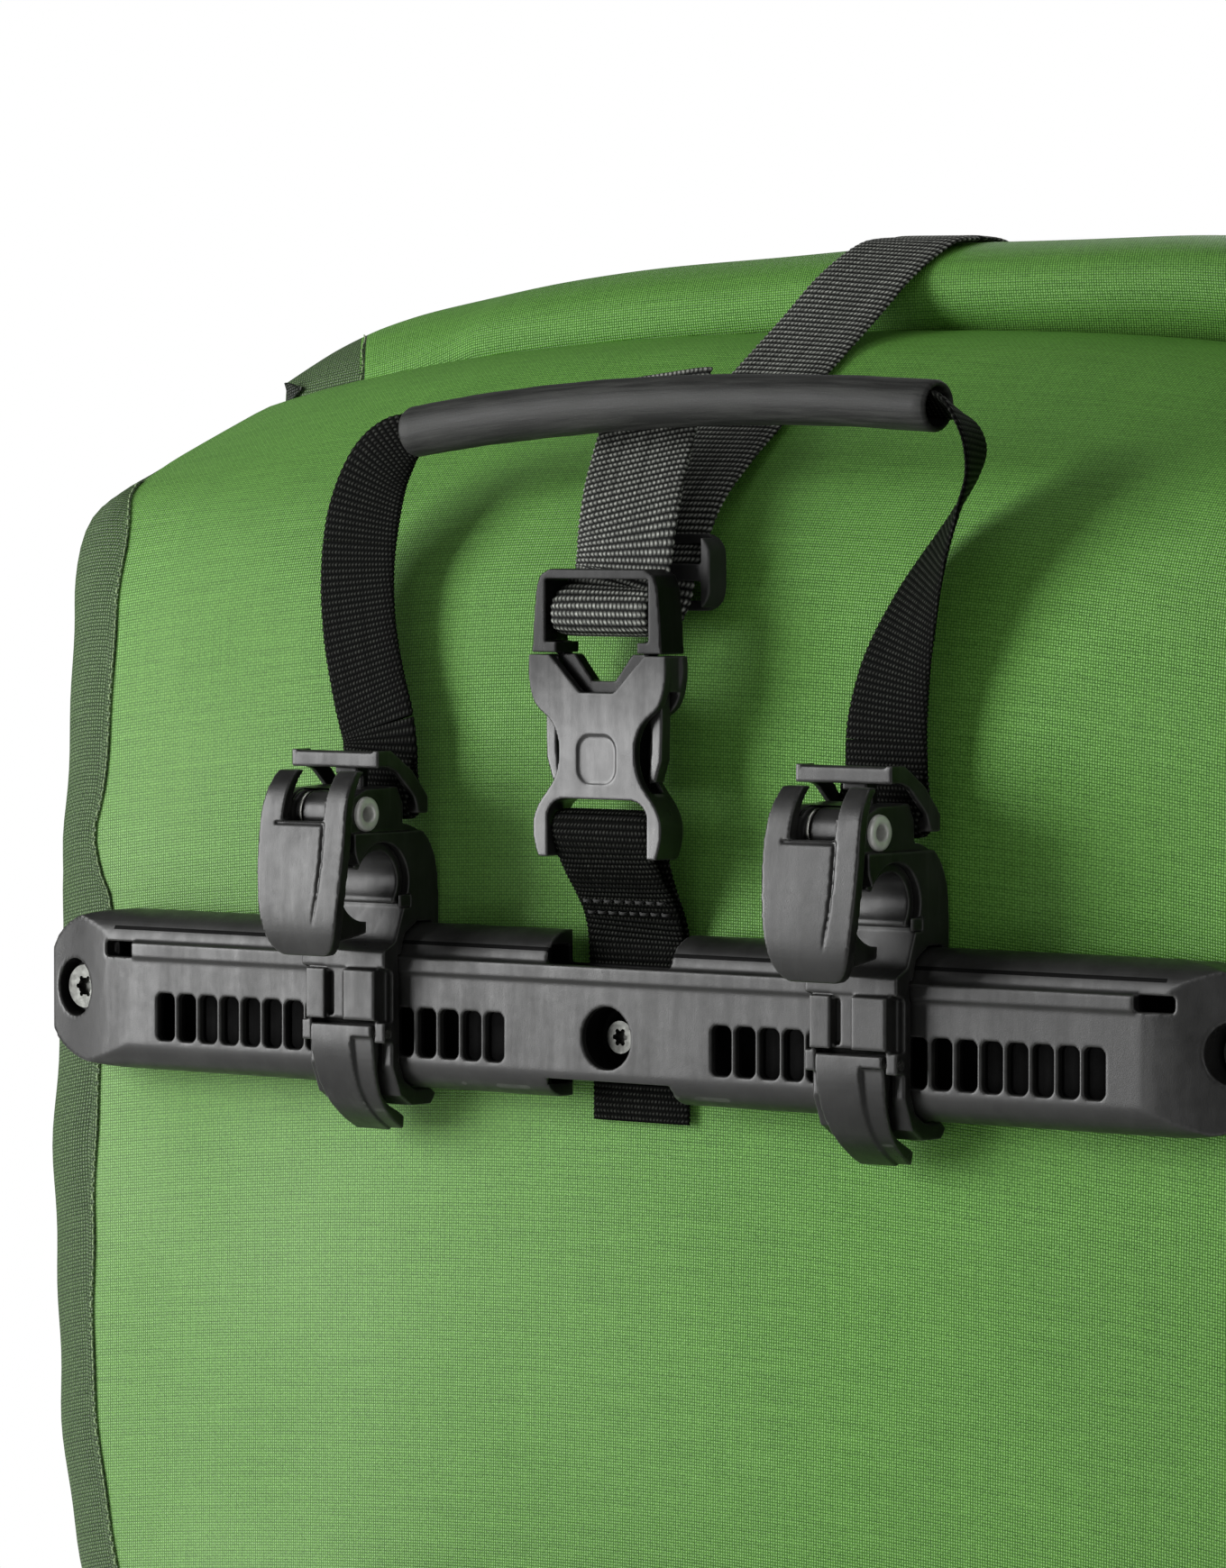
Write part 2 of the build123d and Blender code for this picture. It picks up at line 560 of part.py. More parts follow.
def buckle_male():
    outline = mirrored([(16.6, 78.2), (16.1, 86.0), (15.5, 91.4), (14.5, 93.8), (12.2, BUCKLE_TOP)])
    frame = front_profile(outline, BUCKLE_FACE, BUCKLE_BACK)
    frame -= box(-13.2, 13.2, -5, 10, 80.4, 93.0)
    frame += box(-13.4, 13.4, -0.5, 2.5, 84.4, 87.6)
    vee = front_profile(mirrored([(3.9, 68.2), (14.2, 80.6), (9.4, 80.6), (2.8, 72.6)]), -0.6, 2.1)
    vee += box(-3.3, 3.3, -0.6, 2.1, 68.2, 72.6)
    frame += vee
    return frame - box(-10.4, 10.4, -5, 10, 78.0, 80.5)


def buckle_arm(side):
    outline = [
        (11.9, 77.6), (14.7, 77.6), (14.8, 70.0), (14.9, 64.0), (14.7, 57.0), (13.2, 52.6), (11.4, 52.4),
        (12.2, 60.0), (11.6, 70.0),
    ]
    arm = front_profile([(side * x, z) for x, z in outline], -0.7, 2.2)
    return arm


def female_outline():
    """Broad at the mouth, waisted under the logo recess and forked round the webbing at the foot."""
    heel = Spline((8.6, 49.0), (11.4, 48.0), (12.8, 45.6))
    waist = Spline(
        (15.0, LEGS_Z), (16.2, 40.8), (16.3, 44.6), (14.4, 48.6), (11.3, 52.4), (9.8, 56.6),
        (10.0, 61.0), (12.2, 64.9), (15.5, 67.5), (17.1, 71.0), (17.4, JOIN_Z),
    )
    right = [
        Line((0, 49.0), heel @ 0), heel, Line(heel @ 1, (12.7, LEGS_Z)), Line((12.7, LEGS_Z), waist @ 0),
        waist, Line(waist @ 1, (12.2, JOIN_Z)), Line((12.2, JOIN_Z), (4.4, 70.4)), Line((4.4, 70.4), (0, 70.4)),
    ]
    return right + [mirror(edge, Plane.YZ) for edge in right]


def buckle_female():
    face = Plane((0, 0, 0), x_dir=(1, 0, 0), z_dir=(0, -1, 0)) * make_face(female_outline())

    def layer(y0, y1):
        return Pos(0, y0, 0) * extrude(face, -(y1 - y0))

    core = box(-5.6, 5.6, -1.2, 2.7, 49.5, 62)
    foot = layer(-1.2, 2.7) & box(-20, 20, -2, 3, 37, 50.4)
    walls = [box(*sorted((side * 15.2, side * 16.9)), -1.2, 2.7, 70.6, JOIN_Z) for side in (-1, 1)]
    bar = box(-13.2, 13.2, -0.8, 2.3, 41.0, 43.8)
    shell = layer(BUCKLE_FACE, -1.0) + layer(2.5, BUCKLE_BACK) + core + foot + walls[0] + walls[1] + bar
    badge_plane = Plane((0, BUCKLE_FACE - 1, 57.0), x_dir=(1, 0, 0), z_dir=(0, -1, 0))
    return shell - extrude(badge_plane * RectangleRounded(10.0, 10.0, 3.2), -1.3)


def buckle_anchor():
    """Black webbing round the female bar, sewn to itself and held behind the rail by its centre screw."""
    loop = box(-12.4, 12.4, -2.5, 4.0, 39.4, 45.4) - box(-20, 20, -0.8, 2.3, 41.0, 43.8)
    run = ribbon([(3.1, 41.4), (6.4, 33.0), (11.2, 19.0), (11.2, -16.5)], [8, 8], STRAP, STRAP_HALF)
    run -= box(-20, 20, -10, 2.3, 30, 50)
    run += ribbon([(-1.65, 41.4), (-1.65, 38.4), (8.4, 26.6), (11.2, 17.0)], [2, 6], STRAP, 12.4)
    return loop + run - rod_y(0, CENTRE_SCREW_Z, SHANK_R + 0.1, 5, 15)


# ---- lower rail and anchor hook ----


def lower_rail():
    body = box(-LOWER_HALF, LOWER_HALF, 5.5, PANEL_Y, LOWER_Z - 13, LOWER_Z + 13)
    body -= box(-LOWER_HALF + 20, LOWER_HALF - 20, 7.6, PANEL_Y - 1.4, LOWER_Z - 8, LOWER_Z + 8)
    body -= box(-LOWER_HALF + 20, LOWER_HALF - 20, 5, 8, LOWER_Z - 5, LOWER_Z + 5)
    for x in (-LOWER_HALF + 12, LOWER_HALF - 12):
        body -= rod_y(x, LOWER_Z, 1.8, 0, 20)
        body -= rod_y(x, LOWER_Z, 4.0, 5, 8.0)
    return fillet(body.edges().filter_by(Axis.Y).group_by(Axis.X)[0], 5)


def lower_screws():
    screws = [
        torx_screw(x, LOWER_Z, 5.4, 3.6, 1.75, 13.0).solid() for x in (-LOWER_HALF + 12, LOWER_HALF - 12)
    ]
    return Compound(children=screws)


def lower_nuts():
    y0 = PANEL_Y + FABRIC + BACKER[3]
    nuts = []
    for x in (-LOWER_HALF + 12, LOWER_HALF - 12):
        nut = rod_y(x, LOWER_Z, 4.2, y0, y0 + 2.4) - rod_y(x, LOWER_Z, 1.77, y0 - 1, y0 + 5)
        nuts.append(nut.solid())
    return Compound(children=nuts)


def lower_carriage():
    block = box(-9, 9, 7.9, PANEL_Y - 1.7, LOWER_Z - 7.7, LOWER_Z + 7.7)
    block += box(-9, 9, 2.6, 8, LOWER_Z - 4.7, LOWER_Z + 4.7)
    block += rod_y(0, LOWER_Z, 12, 2.6, 5.2)
    return block - rod_y(0, LOWER_Z, 3.0, -5, 8.5)


def lower_hook():
    disc = rod_y(0, LOWER_Z, 12, -0.2, 2.3) + rod_y(0, LOWER_Z, 2.95, 2.0, 8.0)
    ring = Pos(0, STRUT_Y, LOWER_Z) * (Cylinder(STRUT_R + 2.3, 20) - Cylinder(STRUT_R, 30))
    ring -= box(-20, -3.2, STRUT_Y - 12, STRUT_Y + 4.4, LOWER_Z - 20, LOWER_Z + 20)
    root = box(-4, 6.5, -1.0, 0.2, LOWER_Z - 10, LOWER_Z + 10)
    ring += root - Pos(0, STRUT_Y, LOWER_Z) * Cylinder(STRUT_R, 30)
    return disc + ring


def nodes():
    made = dict(body_panels())
    made["roll_top"] = roll_top()
    made["roll_stiffener"] = roll_stiffener()
    made["inner_backer_plate"] = backer_plate()
    made["mounting_rail"] = rail()
    made["rail_screws"] = rail_screws()
    made["rail_nuts"] = rail_nuts()
    for name, build in HOOK_PARTS.items():
        piece = build()
        for label, side in (("left", -1), ("right", 1)):
            made[f"hook_{label}_{name}"] = Pos(side * HOOK_X, 0, 0) * piece
    made["handle_tube"] = handle_tube()
    made["handle_webbing"] = handle_webbing()
    made["closure_strap"] = closure_strap()
    made["strap_tail"] = strap_tail()
    made["strap_bight"] = strap_bight()
    made["strap_slider"] = strap_slider()
    made["strap_anchor_patch"] = strap_anchor_patch()
    made["buckle_male"] = buckle_male()
    made["buckle_arm_left"] = buckle_arm(-1)
    made["buckle_arm_right"] = buckle_arm(1)
    made["buckle_female"] = buckle_female()
    made["buckle_anchor_webbing"] = buckle_anchor()
    made["lower_rail"] = lower_rail()
    made["lower_rail_screws"] = lower_screws()
    made["lower_rail_nuts"] = lower_nuts()
    made["lower_hook_carriage"] = lower_carriage()
    made["lower_hook"] = lower_hook()
    return made


os.makedirs("parts", exist_ok=True)
for node, shape in nodes().items():
    export_step(place(shape), f"parts/{node}.step")
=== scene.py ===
import math
import random

import bpy
import numpy as np
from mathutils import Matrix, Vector


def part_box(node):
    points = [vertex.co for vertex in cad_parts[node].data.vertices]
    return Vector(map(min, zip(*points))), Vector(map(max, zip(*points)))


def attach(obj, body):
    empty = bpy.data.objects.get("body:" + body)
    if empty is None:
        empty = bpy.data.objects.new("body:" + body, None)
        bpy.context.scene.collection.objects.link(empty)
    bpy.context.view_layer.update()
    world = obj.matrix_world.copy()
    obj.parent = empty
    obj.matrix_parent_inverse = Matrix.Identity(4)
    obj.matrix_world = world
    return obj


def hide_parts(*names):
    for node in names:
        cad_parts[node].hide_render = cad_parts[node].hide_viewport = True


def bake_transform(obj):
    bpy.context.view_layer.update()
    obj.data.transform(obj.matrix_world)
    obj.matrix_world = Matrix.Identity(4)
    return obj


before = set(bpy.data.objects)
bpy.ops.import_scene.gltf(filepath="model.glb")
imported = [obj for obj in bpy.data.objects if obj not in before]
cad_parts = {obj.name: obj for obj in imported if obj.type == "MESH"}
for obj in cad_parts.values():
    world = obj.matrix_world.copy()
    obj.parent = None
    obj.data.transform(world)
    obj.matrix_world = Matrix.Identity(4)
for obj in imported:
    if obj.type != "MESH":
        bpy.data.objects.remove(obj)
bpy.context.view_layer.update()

# Places are millimetres in the rail's own frame: X along the rail, Y from its face into the bag,
# Z up from the line of its slots. at() turns them into the row frame's metres.
MM = 0.001
RAIL_LOW, RAIL_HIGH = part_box("mounting_rail")
BEAD_PROUD = 0.5
RAIL_TOP = 22.0
ORIGIN = Vector((0, RAIL_LOW.y + BEAD_PROUD * MM, RAIL_HIGH.z - RAIL_TOP * MM))
MIDDLE_Y = 97.5  # middle of the bag's depth
RIM_ANGLE = math.radians(55)  # a sheet's edges sharper than this don't share their shading
HOOK_X = (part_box("hook_right_carriage")[0].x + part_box("hook_right_carriage")[1].x) / 2 / MM


def at(points):
    """Rail-frame millimetres to row-frame metres."""
    return np.asarray(points, float) * MM + np.array(ORIGIN)


# ---- curves and meshes ----


def catmull(knots, samples):
    """Many points on a smooth curve through the knots, which may have any number of columns."""
    k = np.asarray(knots, float)
    k = np.vstack([2 * k[0] - k[1], k, 2 * k[-1] - k[-2]])
    out = []
    for i in range(1, len(k) - 2):
        t = np.linspace(0, 1, samples, endpoint=False)[:, None]
        a, b, c, d = k[i - 1], k[i], k[i + 1], k[i + 2]
        bend = 2 * a - 5 * b + 4 * c - d
        out.append(0.5 * (2 * b + (c - a) * t + bend * t**2 + (3 * b - a - 3 * c + d) * t**3))
    return np.vstack([*out, k[-2:-1]])


def resample(points, count, columns=3):
    """The same curve with points evenly spaced along its first columns."""
    steps = np.linalg.norm(np.diff(points[:, :columns], axis=0), axis=1)
    along = np.concatenate([[0], np.cumsum(steps)])
    want = np.linspace(0, along[-1], count)
    return np.stack([np.interp(want, along, points[:, c]) for c in range(points.shape[1])], 1), want


def link(name, verts, faces, material, uvs=None):
    """A mesh object from row-frame metres, with a cloth map in millimetres if uvs are given per vertex."""
    mesh = bpy.data.meshes.new(name)
    mesh.from_pydata([tuple(v) for v in verts], [], faces)
    mesh.validate()
    if uvs is not None:
        loops = np.zeros(len(mesh.loops), np.int32)
        mesh.loops.foreach_get("vertex_index", loops)
        layer = mesh.uv_layers.new(name="cloth")
        layer.data.foreach_set("uv", np.asarray(uvs, np.float32)[loops].ravel())
    mesh.shade_smooth()
    mesh.materials.append(material)
    piece = bpy.data.objects.new(name, mesh)
    bpy.context.scene.collection.objects.link(piece)
    return piece


def grid_faces(rows, columns, wrap=False):
    last = columns if wrap else columns - 1
    faces = []
    for r in range(rows - 1):
        here, above = r * columns, (r + 1) * columns
        for c in range(last):
            beside = (c + 1) % columns
            faces.append((here + c, here + beside, above + beside, above + c))
    return faces


def cloth_map(grid):
    """Distances along and across a grid of points, in millimetres, measured from its middle."""
    across = np.linalg.norm(np.diff(grid, axis=1), axis=2)
    up = np.linalg.norm(np.diff(grid, axis=0), axis=2)
    u = np.concatenate([np.zeros((len(grid), 1)), np.cumsum(across, 1)], 1)
    u -= u[:, u.shape[1] // 2][:, None]
    v = np.concatenate([np.zeros((1, grid.shape[1])), np.cumsum(up, 0)], 0)
    return np.stack([u, v], 2)


def sheet_piece(name, grid, material, thickness, offset=1.0):
    """A sewn panel: a grid of rail-frame points, given a thickness and crisp rims."""
    rows, columns = grid.shape[:2]
    uv = cloth_map(grid).reshape(-1, 2)
    piece = link(name, at(grid.reshape(-1, 3)), grid_faces(rows, columns), material, uv)
    solid = piece.modifiers.new("thickness", "SOLIDIFY")
    solid.thickness = thickness * MM
    solid.offset = offset
    crisp = piece.modifiers.new("crisp", "EDGE_SPLIT")
    crisp.split_angle = RIM_ANGLE
    return piece


def unit(v):
    return v / np.maximum(np.linalg.norm(v, axis=-1, keepdims=True), 1e-9)


def ribbon(name, stations, thickness, pitch, depth, material, across=16, start=0.0, steps=6):
    """Webbing through stations of (x, y, z, wx, wy, wz, half width), ribbed across its length."""
    dense = catmull(stations, 40)
    length = np.linalg.norm(np.diff(dense[:, :3], axis=0), axis=1).sum()
    count = max(12, int(round(length / pitch * steps)))
    line, along = resample(dense, count)
    centre, half = line[:, :3], line[:, 6:7]
    tangent = unit(np.gradient(centre, axis=0))
    wide = line[:, 3:6]
    wide = unit(wide - (wide * tangent).sum(1, keepdims=True) * tangent)
    normal = unit(np.cross(tangent, wide))
    t = np.sin(np.linspace(-math.pi / 2, math.pi / 2, across + 1))
    profile = np.sqrt(np.clip(1 - np.abs(t) ** 7, 0, 1))
    rib = (0.5 + 0.5 * np.cos(2 * math.pi * (along + start) / pitch)) ** 0.7
    edge = 1 + 0.012 * np.cos(2 * math.pi * (along + start) / pitch)
    rings, uvs = [], []
    for side in (1, -1):
        order = range(across + 1) if side > 0 else range(across - 1, 0, -1)
        for j in order:
            lift = side * profile[j] * (thickness / 2 - depth + depth * rib)
            rings.append(centre + wide * half * t[j] * edge[:, None] + normal * lift[:, None])
            uvs.append(np.stack([along + start, t[j] * half[:, 0]], 1))
    rings = np.stack(rings, 1)
    uvs = np.stack(uvs, 1)
    rows, columns = rings.shape[:2]
    faces = grid_faces(rows, columns, wrap=True)
    faces.append(tuple(range(columns))[::-1])
    faces.append(tuple((rows - 1) * columns + c for c in range(columns)))
    piece = link(name, at(rings.reshape(-1, 3)), faces, material, uvs.reshape(-1, 2))
    return piece


def thread_row(name, line, outward, material, stitch=2.6, gap=0.9, radius=0.26, wander=0.1, seed=1):
    """A row of stitches along a line of rail-frame points, each a short thread that dips at its ends."""
    rng = random.Random(seed)
    dense = np.hstack([np.asarray(line, float), np.asarray(outward, float)])
    length = np.linalg.norm(np.diff(dense[:, :3], axis=0), axis=1).sum()
    fine, along = resample(dense, max(8, int(length * 4)))
    verts, faces = [], []
    s = 0.6
    sides = 6
    while s + stitch < length:
        span = stitch * (1 + rng.uniform(-wander, wander))
        knots = np.linspace(s, s + span, 6)
        p = np.stack([np.interp(knots, along, fine[:, c]) for c in range(6)], 1)
        lift = np.sin(np.linspace(0, math.pi, 6)) ** 0.5
        out = unit(p[:, 3:])
        centre = p[:, :3] + out * (radius * (1.6 * lift - 0.8) + rng.uniform(-0.03, 0.03))[:, None]
        tangent = unit(np.gradient(centre, axis=0))
        sideways = unit(np.cross(tangent, out))
        base = len(verts)
        for i in range(6):
            r = radius * (0.7 if i in (0, 5) else 1)
            for k in range(sides):
                a = 2 * math.pi * k / sides
                verts.append(centre[i] + sideways[i] * r * math.cos(a) + out[i] * r * math.sin(a))
        for i in range(5):
            for k in range(sides):
                a0, a1 = base + i * sides + k, base + i * sides + (k + 1) % sides
                faces.append((a0, a1, a1 + sides, a0 + sides))
        faces.append(tuple(base + k for k in range(sides))[::-1])
        faces.append(tuple(base + 5 * sides + k for k in range(sides)))
        s += span + gap
    return link(name, at(np.array(verts)), faces, material)


# ---- materials ----


class Shader:
    """A material with one Principled shader and short ways to add nodes to it."""

    def __init__(self, name, roughness=0.5, **constants):
        self.material = bpy.data.materials.new(name)
        self.material.use_nodes = True
        self.tree = self.material.node_tree
        self.out = self.tree.nodes["Principled BSDF"]
        self.out.inputs["Roughness"].default_value = roughness
        for key, value in constants.items():
            self.out.inputs[key.replace("_", " ")].default_value = value

    def node(self, kind, **inputs):
        made = self.tree.nodes.new(kind)
        for key, value in inputs.items():
            numbered = key[0] == "i" and key[1:].isdigit()
            self.feed(made.inputs[int(key[1:]) if numbered else key.replace("_", " ")], value)
        return made

    def feed(self, socket, value):
        if isinstance(value, bpy.types.NodeSocket):
            self.tree.links.new(value, socket)
        else:
            socket.default_value = value

    def math(self, operation, a, b=0.0, c=0.0):
        made = self.node("ShaderNodeMath", i0=a, i1=b, i2=c)
        made.operation = operation
        return made.outputs[0]

    def ramp(self, value, low, high, to_low=0.0, to_high=1.0):
        made = self.node(
            "ShaderNodeMapRange", Value=value, From_Min=low, From_Max=high, To_Min=to_low, To_Max=to_high
        )
        return made.outputs[0]

    def mix(self, factor, a, b):
        made = self.node("ShaderNodeMix")
        made.data_type = "RGBA"
        self.feed(made.inputs[0], factor)
        self.feed(made.inputs[6], a)
        self.feed(made.inputs[7], b)
        return made.outputs[2]

    def cloth(self):
        made = self.tree.nodes.new("ShaderNodeUVMap")
        made.uv_map = "cloth"
        split = self.node("ShaderNodeSeparateXYZ", Vector=made.outputs[0])
        return split.outputs[0], split.outputs[1]

    def place(self):
        return self.tree.nodes.new("ShaderNodeTexCoord").outputs["Object"]

    def joined(self, x, y, z=0.0):
        return self.node("ShaderNodeCombineXYZ", X=x, Y=y, Z=z).outputs[0]

    def noise(self, vector, scale, detail=2.0, rough=0.5):
        made = self.node("ShaderNodeTexNoise", Vector=vector, Scale=scale, Detail=detail, Roughness=rough)
        return made.outputs["Fac"]

    def bump(self, height, distance, strength=1.0, normal=None):
        made = self.node("ShaderNodeBump", Height=height, Distance=distance, Strength=strength)
        if normal is not None:
            self.feed(made.inputs["Normal"], normal)
        return made.outputs[0]

    def finish(self, colour=None, roughness=None, normal=None):
        for key, value in (("Base Color", colour), ("Roughness", roughness), ("Normal", normal)):
            if value is not None:
                self.feed(self.out.inputs[key], value)
        return self.material


def rgb(r, g, b):
    """A colour picked as sRGB 0 to 255, as the linear value that a shader wants."""
    return (*((c / 255 / 12.92) if c <= 10 else ((c / 255 + 0.055) / 1.055) ** 2.4 for c in (r, g, b)), 1.0)


# The colour of a painted sheen of light on the green cloth, palest towards the bag's lower left.
PAINTED_SHEEN = rgb(196, 214, 176)


def woven(name, gap_and_shade_colour, thread_colour, pale_and_highlight_colour, pitch=0.6, relief=0.15, chalk_and_sheen=0.0):
    """Plain-woven coated cloth: crossing threads with painted shade and highlights, heathered streaks and
    slow changes of tone.

    Its last argument is the strength of a painted sheen that pales it towards the bag's lower left.
    """
    s = Shader(name, Specular_IOR_Level=0.34)
    u, v = s.cloth()
    place = s.place()
    wave_u = s.math("SINE", s.math("MULTIPLY", u, math.pi / pitch))
    wave_v = s.math("SINE", s.math("MULTIPLY", v, math.pi / pitch))
    warp_up = s.math("GREATER_THAN", s.math("MULTIPLY", wave_u, wave_v), 0.0)
    crown_u = s.math("ABSOLUTE", wave_u)
    crown_v = s.math("ABSOLUTE", wave_v)
    warp = s.math("MULTIPLY", s.math("POWER", crown_u, 0.8), s.math("POWER", crown_v, 0.4))
    weft = s.math("MULTIPLY", s.math("POWER", crown_u, 0.4), s.math("POWER", crown_v, 0.8))
    height = s.node("ShaderNodeMix", i0=warp_up, i2=weft, i3=warp).outputs[0]
    along_weft = s.joined(s.math("MULTIPLY", u, 0.045), s.math("MULTIPLY", v, 0.9))
    along_warp = s.joined(s.math("MULTIPLY", u, 0.9), s.math("MULTIPLY", v, 0.03), 7.0)
    weft_streak = s.noise(along_weft, 1.0, 3.0, 0.7)
    warp_streak = s.noise(along_warp, 1.0, 3.0, 0.7)
    slow = s.noise(place, 9.0, 2.0)
    fleck = s.noise(s.joined(u, v, 3.0), 1.3, 2.0, 0.7)
    shade = s.math("MULTIPLY", height, 0.66)
    shade = s.math("ADD", shade, s.ramp(weft_streak, 0.3, 0.7, -0.07, 0.09))
    shade = s.math("ADD", shade, s.ramp(warp_streak, 0.3, 0.7, -0.04, 0.04))
    shade = s.math("ADD", shade, s.ramp(fleck, 0.35, 0.7, -0.1, 0.12))
    shade = s.math("ADD", shade, s.math("MULTIPLY", warp_up, 0.1))
    # Painted shade darkens the gaps between threads and painted highlights lighten their crowns, on top of
    # the cloth's own streaks and flecks.
    lower = s.mix(s.ramp(shade, 0.0, 0.45), gap_and_shade_colour, thread_colour)
    colour = s.mix(s.ramp(shade, 0.42, 0.85), lower, pale_and_highlight_colour)
    # Painted sheen: towards the bag's lower left the cloth is painted paler, in blotches, where light glances
    # off it.
    if chalk_and_sheen:
        split = s.node("ShaderNodeSeparateXYZ", Vector=place)
        side = s.ramp(split.outputs[0], -0.15, 0.05, chalk_and_sheen, 0)
        below = s.ramp(split.outputs[2], float(at((0, 0, -10))[2]), float(at((0, 0, 140))[2]), 1, 0)
        blotch = s.ramp(slow, 0.35, 0.65, 0.6, 1.2)
        painted_sheen_amount = s.math("MULTIPLY", s.math("MULTIPLY", side, below), blotch)
        colour = s.mix(painted_sheen_amount, colour, PAINTED_SHEEN)
    tint = s.mix(s.ramp(slow, 0.3, 0.7), (0.93, 0.93, 0.93, 1), (1.06, 1.05, 1.07, 1))
    tinted = s.node("ShaderNodeMix")
    tinted.data_type = "RGBA"
    tinted.blend_type = "MULTIPLY"
    s.feed(tinted.inputs[0], 1.0)
    s.feed(tinted.inputs[6], colour)
    s.feed(tinted.inputs[7], tint)
    soft = s.bump(slow, 0.0012, 0.35)
    normal = s.bump(s.math("ADD", height, s.math("MULTIPLY", fleck, 0.4)), relief * MM, 0.9, soft)
    roughness = s.ramp(s.math("ADD", height, fleck), 0.3, 1.6, 0.56, 0.36)
    return s.finish(tinted.outputs[2], roughness, normal)


def webbing(name, gap_and_shade_colour, thread_colour, pale_and_highlight_colour, pitch, cross=1.05, gloss=0.16):
    """Ribbed strap webbing. The ribs are in the mesh, and the threads over each rib are here, with painted
    shade and highlights.
    """
    s = Shader(name, Specular_IOR_Level=gloss)
    u, v = s.cloth()
    wave = s.math("COSINE", s.math("MULTIPLY", u, 2 * math.pi / pitch))
    rib = s.math("MULTIPLY", s.math("ADD", wave, 1.0), 0.5)
    row = s.math("FLOOR", s.math("ADD", s.math("DIVIDE", u, pitch), 0.5))
    shift = s.math("MULTIPLY", s.math("MODULO", s.math("ABSOLUTE", row), 2.0), cross / 2)
    lean = s.math("ADD", s.math("ADD", v, shift), s.math("MULTIPLY", u, 0.25))
    strand = s.math("ABSOLUTE", s.math("SINE", s.math("MULTIPLY", lean, math.pi / cross)))
    height = s.math("MULTIPLY", s.math("POWER", rib, 0.6), s.math("POWER", strand, 0.5))
    fray = s.noise(s.joined(s.math("MULTIPLY", u, 0.8), s.math("MULTIPLY", v, 1.4)), 1.5, 3.0, 0.7)
    long_streak = s.noise(s.joined(s.math("MULTIPLY", u, 0.03), v), 0.8, 2.0)
    shade = s.math("ADD", s.math("MULTIPLY", height, 0.8), s.ramp(fray, 0.3, 0.75, -0.12, 0.22))
    shade = s.math("ADD", shade, s.ramp(long_streak, 0.3, 0.7, -0.08, 0.08))
    # Painted shade darkens the gaps between ribs and threads and painted highlights lighten the crowns, on
    # top of the webbing's own fray and streaks.
    lower = s.mix(s.ramp(shade, 0.2, 0.62), gap_and_shade_colour, thread_colour)
    colour = s.mix(s.ramp(shade, 0.62, 1.0), lower, pale_and_highlight_colour)
    normal = s.bump(s.math("ADD", height, s.math("MULTIPLY", fray, 0.3)), 0.2 * MM, 1.0)
    return s.finish(colour, s.ramp(height, 0, 1, 0.75, 0.5), normal)


def moulded_plastic(name, colour, worn, roughness=0.42, grain=0.02, dust=0.12, specular=0.5, dull=None):
    """Glass-filled plastic: a fine grain, rubbed edges, long scuffs and a little dust.

    dull is the two heights, in row-frame metres, between which it grows less glossy.
    """
    s = Shader(name, Specular_IOR_Level=specular)
    place = s.place()
    fine = s.noise(place, 3800.0, 2.0, 0.6)
    medium = s.noise(place, 420.0, 3.0, 0.6)
    broad = s.noise(place, 60.0, 3.0, 0.55)
    split = s.node("ShaderNodeSeparateXYZ", Vector=place)
    tall = s.joined(split.outputs[0], split.outputs[1], s.math("MULTIPLY", split.outputs[2], 0.12))
    scuff = s.noise(tall, 260.0, 4.0, 0.65)
    point = s.tree.nodes.new("ShaderNodeNewGeometry").outputs["Pointiness"]
    edge = s.math("MULTIPLY", s.ramp(point, 0.515, 0.57), s.ramp(medium, 0.35, 0.6, 0.35, 1.0))
    dusty = s.math("MULTIPLY", s.ramp(broad, 0.42, 0.7), dust)
    dusty = s.math("ADD", dusty, s.math("MULTIPLY", s.ramp(scuff, 0.5, 0.75), dust))
    dusty = s.math("ADD", dusty, s.math("MULTIPLY", s.ramp(fine, 0.6, 0.78), dust * 0.8))
    base = s.mix(dusty, colour, worn)
    base = s.mix(s.math("MULTIPLY", edge, 0.3), base, worn)
    relief = s.math("ADD", fine, s.math("MULTIPLY", medium, 0.8))
    rough = s.ramp(broad, 0.3, 0.7, roughness - 0.05, roughness + 0.06)
    rough = s.math("ADD", rough, s.ramp(scuff, 0.3, 0.7, 0.07, -0.06))
    rough = s.math("ADD", rough, s.ramp(medium, 0.3, 0.7, -0.03, 0.03))
    if dull:
        rough = s.math("ADD", rough, s.ramp(split.outputs[2], dull[0], dull[1], 0, 0.3))
    return s.finish(base, rough, s.bump(relief, grain * MM, 0.8))


def rubber(name, colour, chalk_and_sheen):
    """A soft tube, dull, with long chalky rub marks."""
    s = Shader(name, Specular_IOR_Level=0.35)
    u, v = s.cloth()
    streak = s.noise(s.joined(s.math("MULTIPLY", u, 0.05), s.math("MULTIPLY", v, 0.7)), 1.0, 4.0, 0.7)
    speck = s.noise(s.joined(u, v, 5.0), 2.6, 3.0, 0.75)
    chalky = s.math("ADD", s.ramp(streak, 0.42, 0.8, 0.0, 0.75), s.ramp(speck, 0.55, 0.8, 0.0, 0.5))
    normal = s.bump(s.math("ADD", streak, s.math("MULTIPLY", speck, 0.5)), 0.12 * MM, 0.7)
    return s.finish(s.mix(chalky, colour, chalk_and_sheen), s.ramp(streak, 0.3, 0.7, 0.5, 0.68), normal)


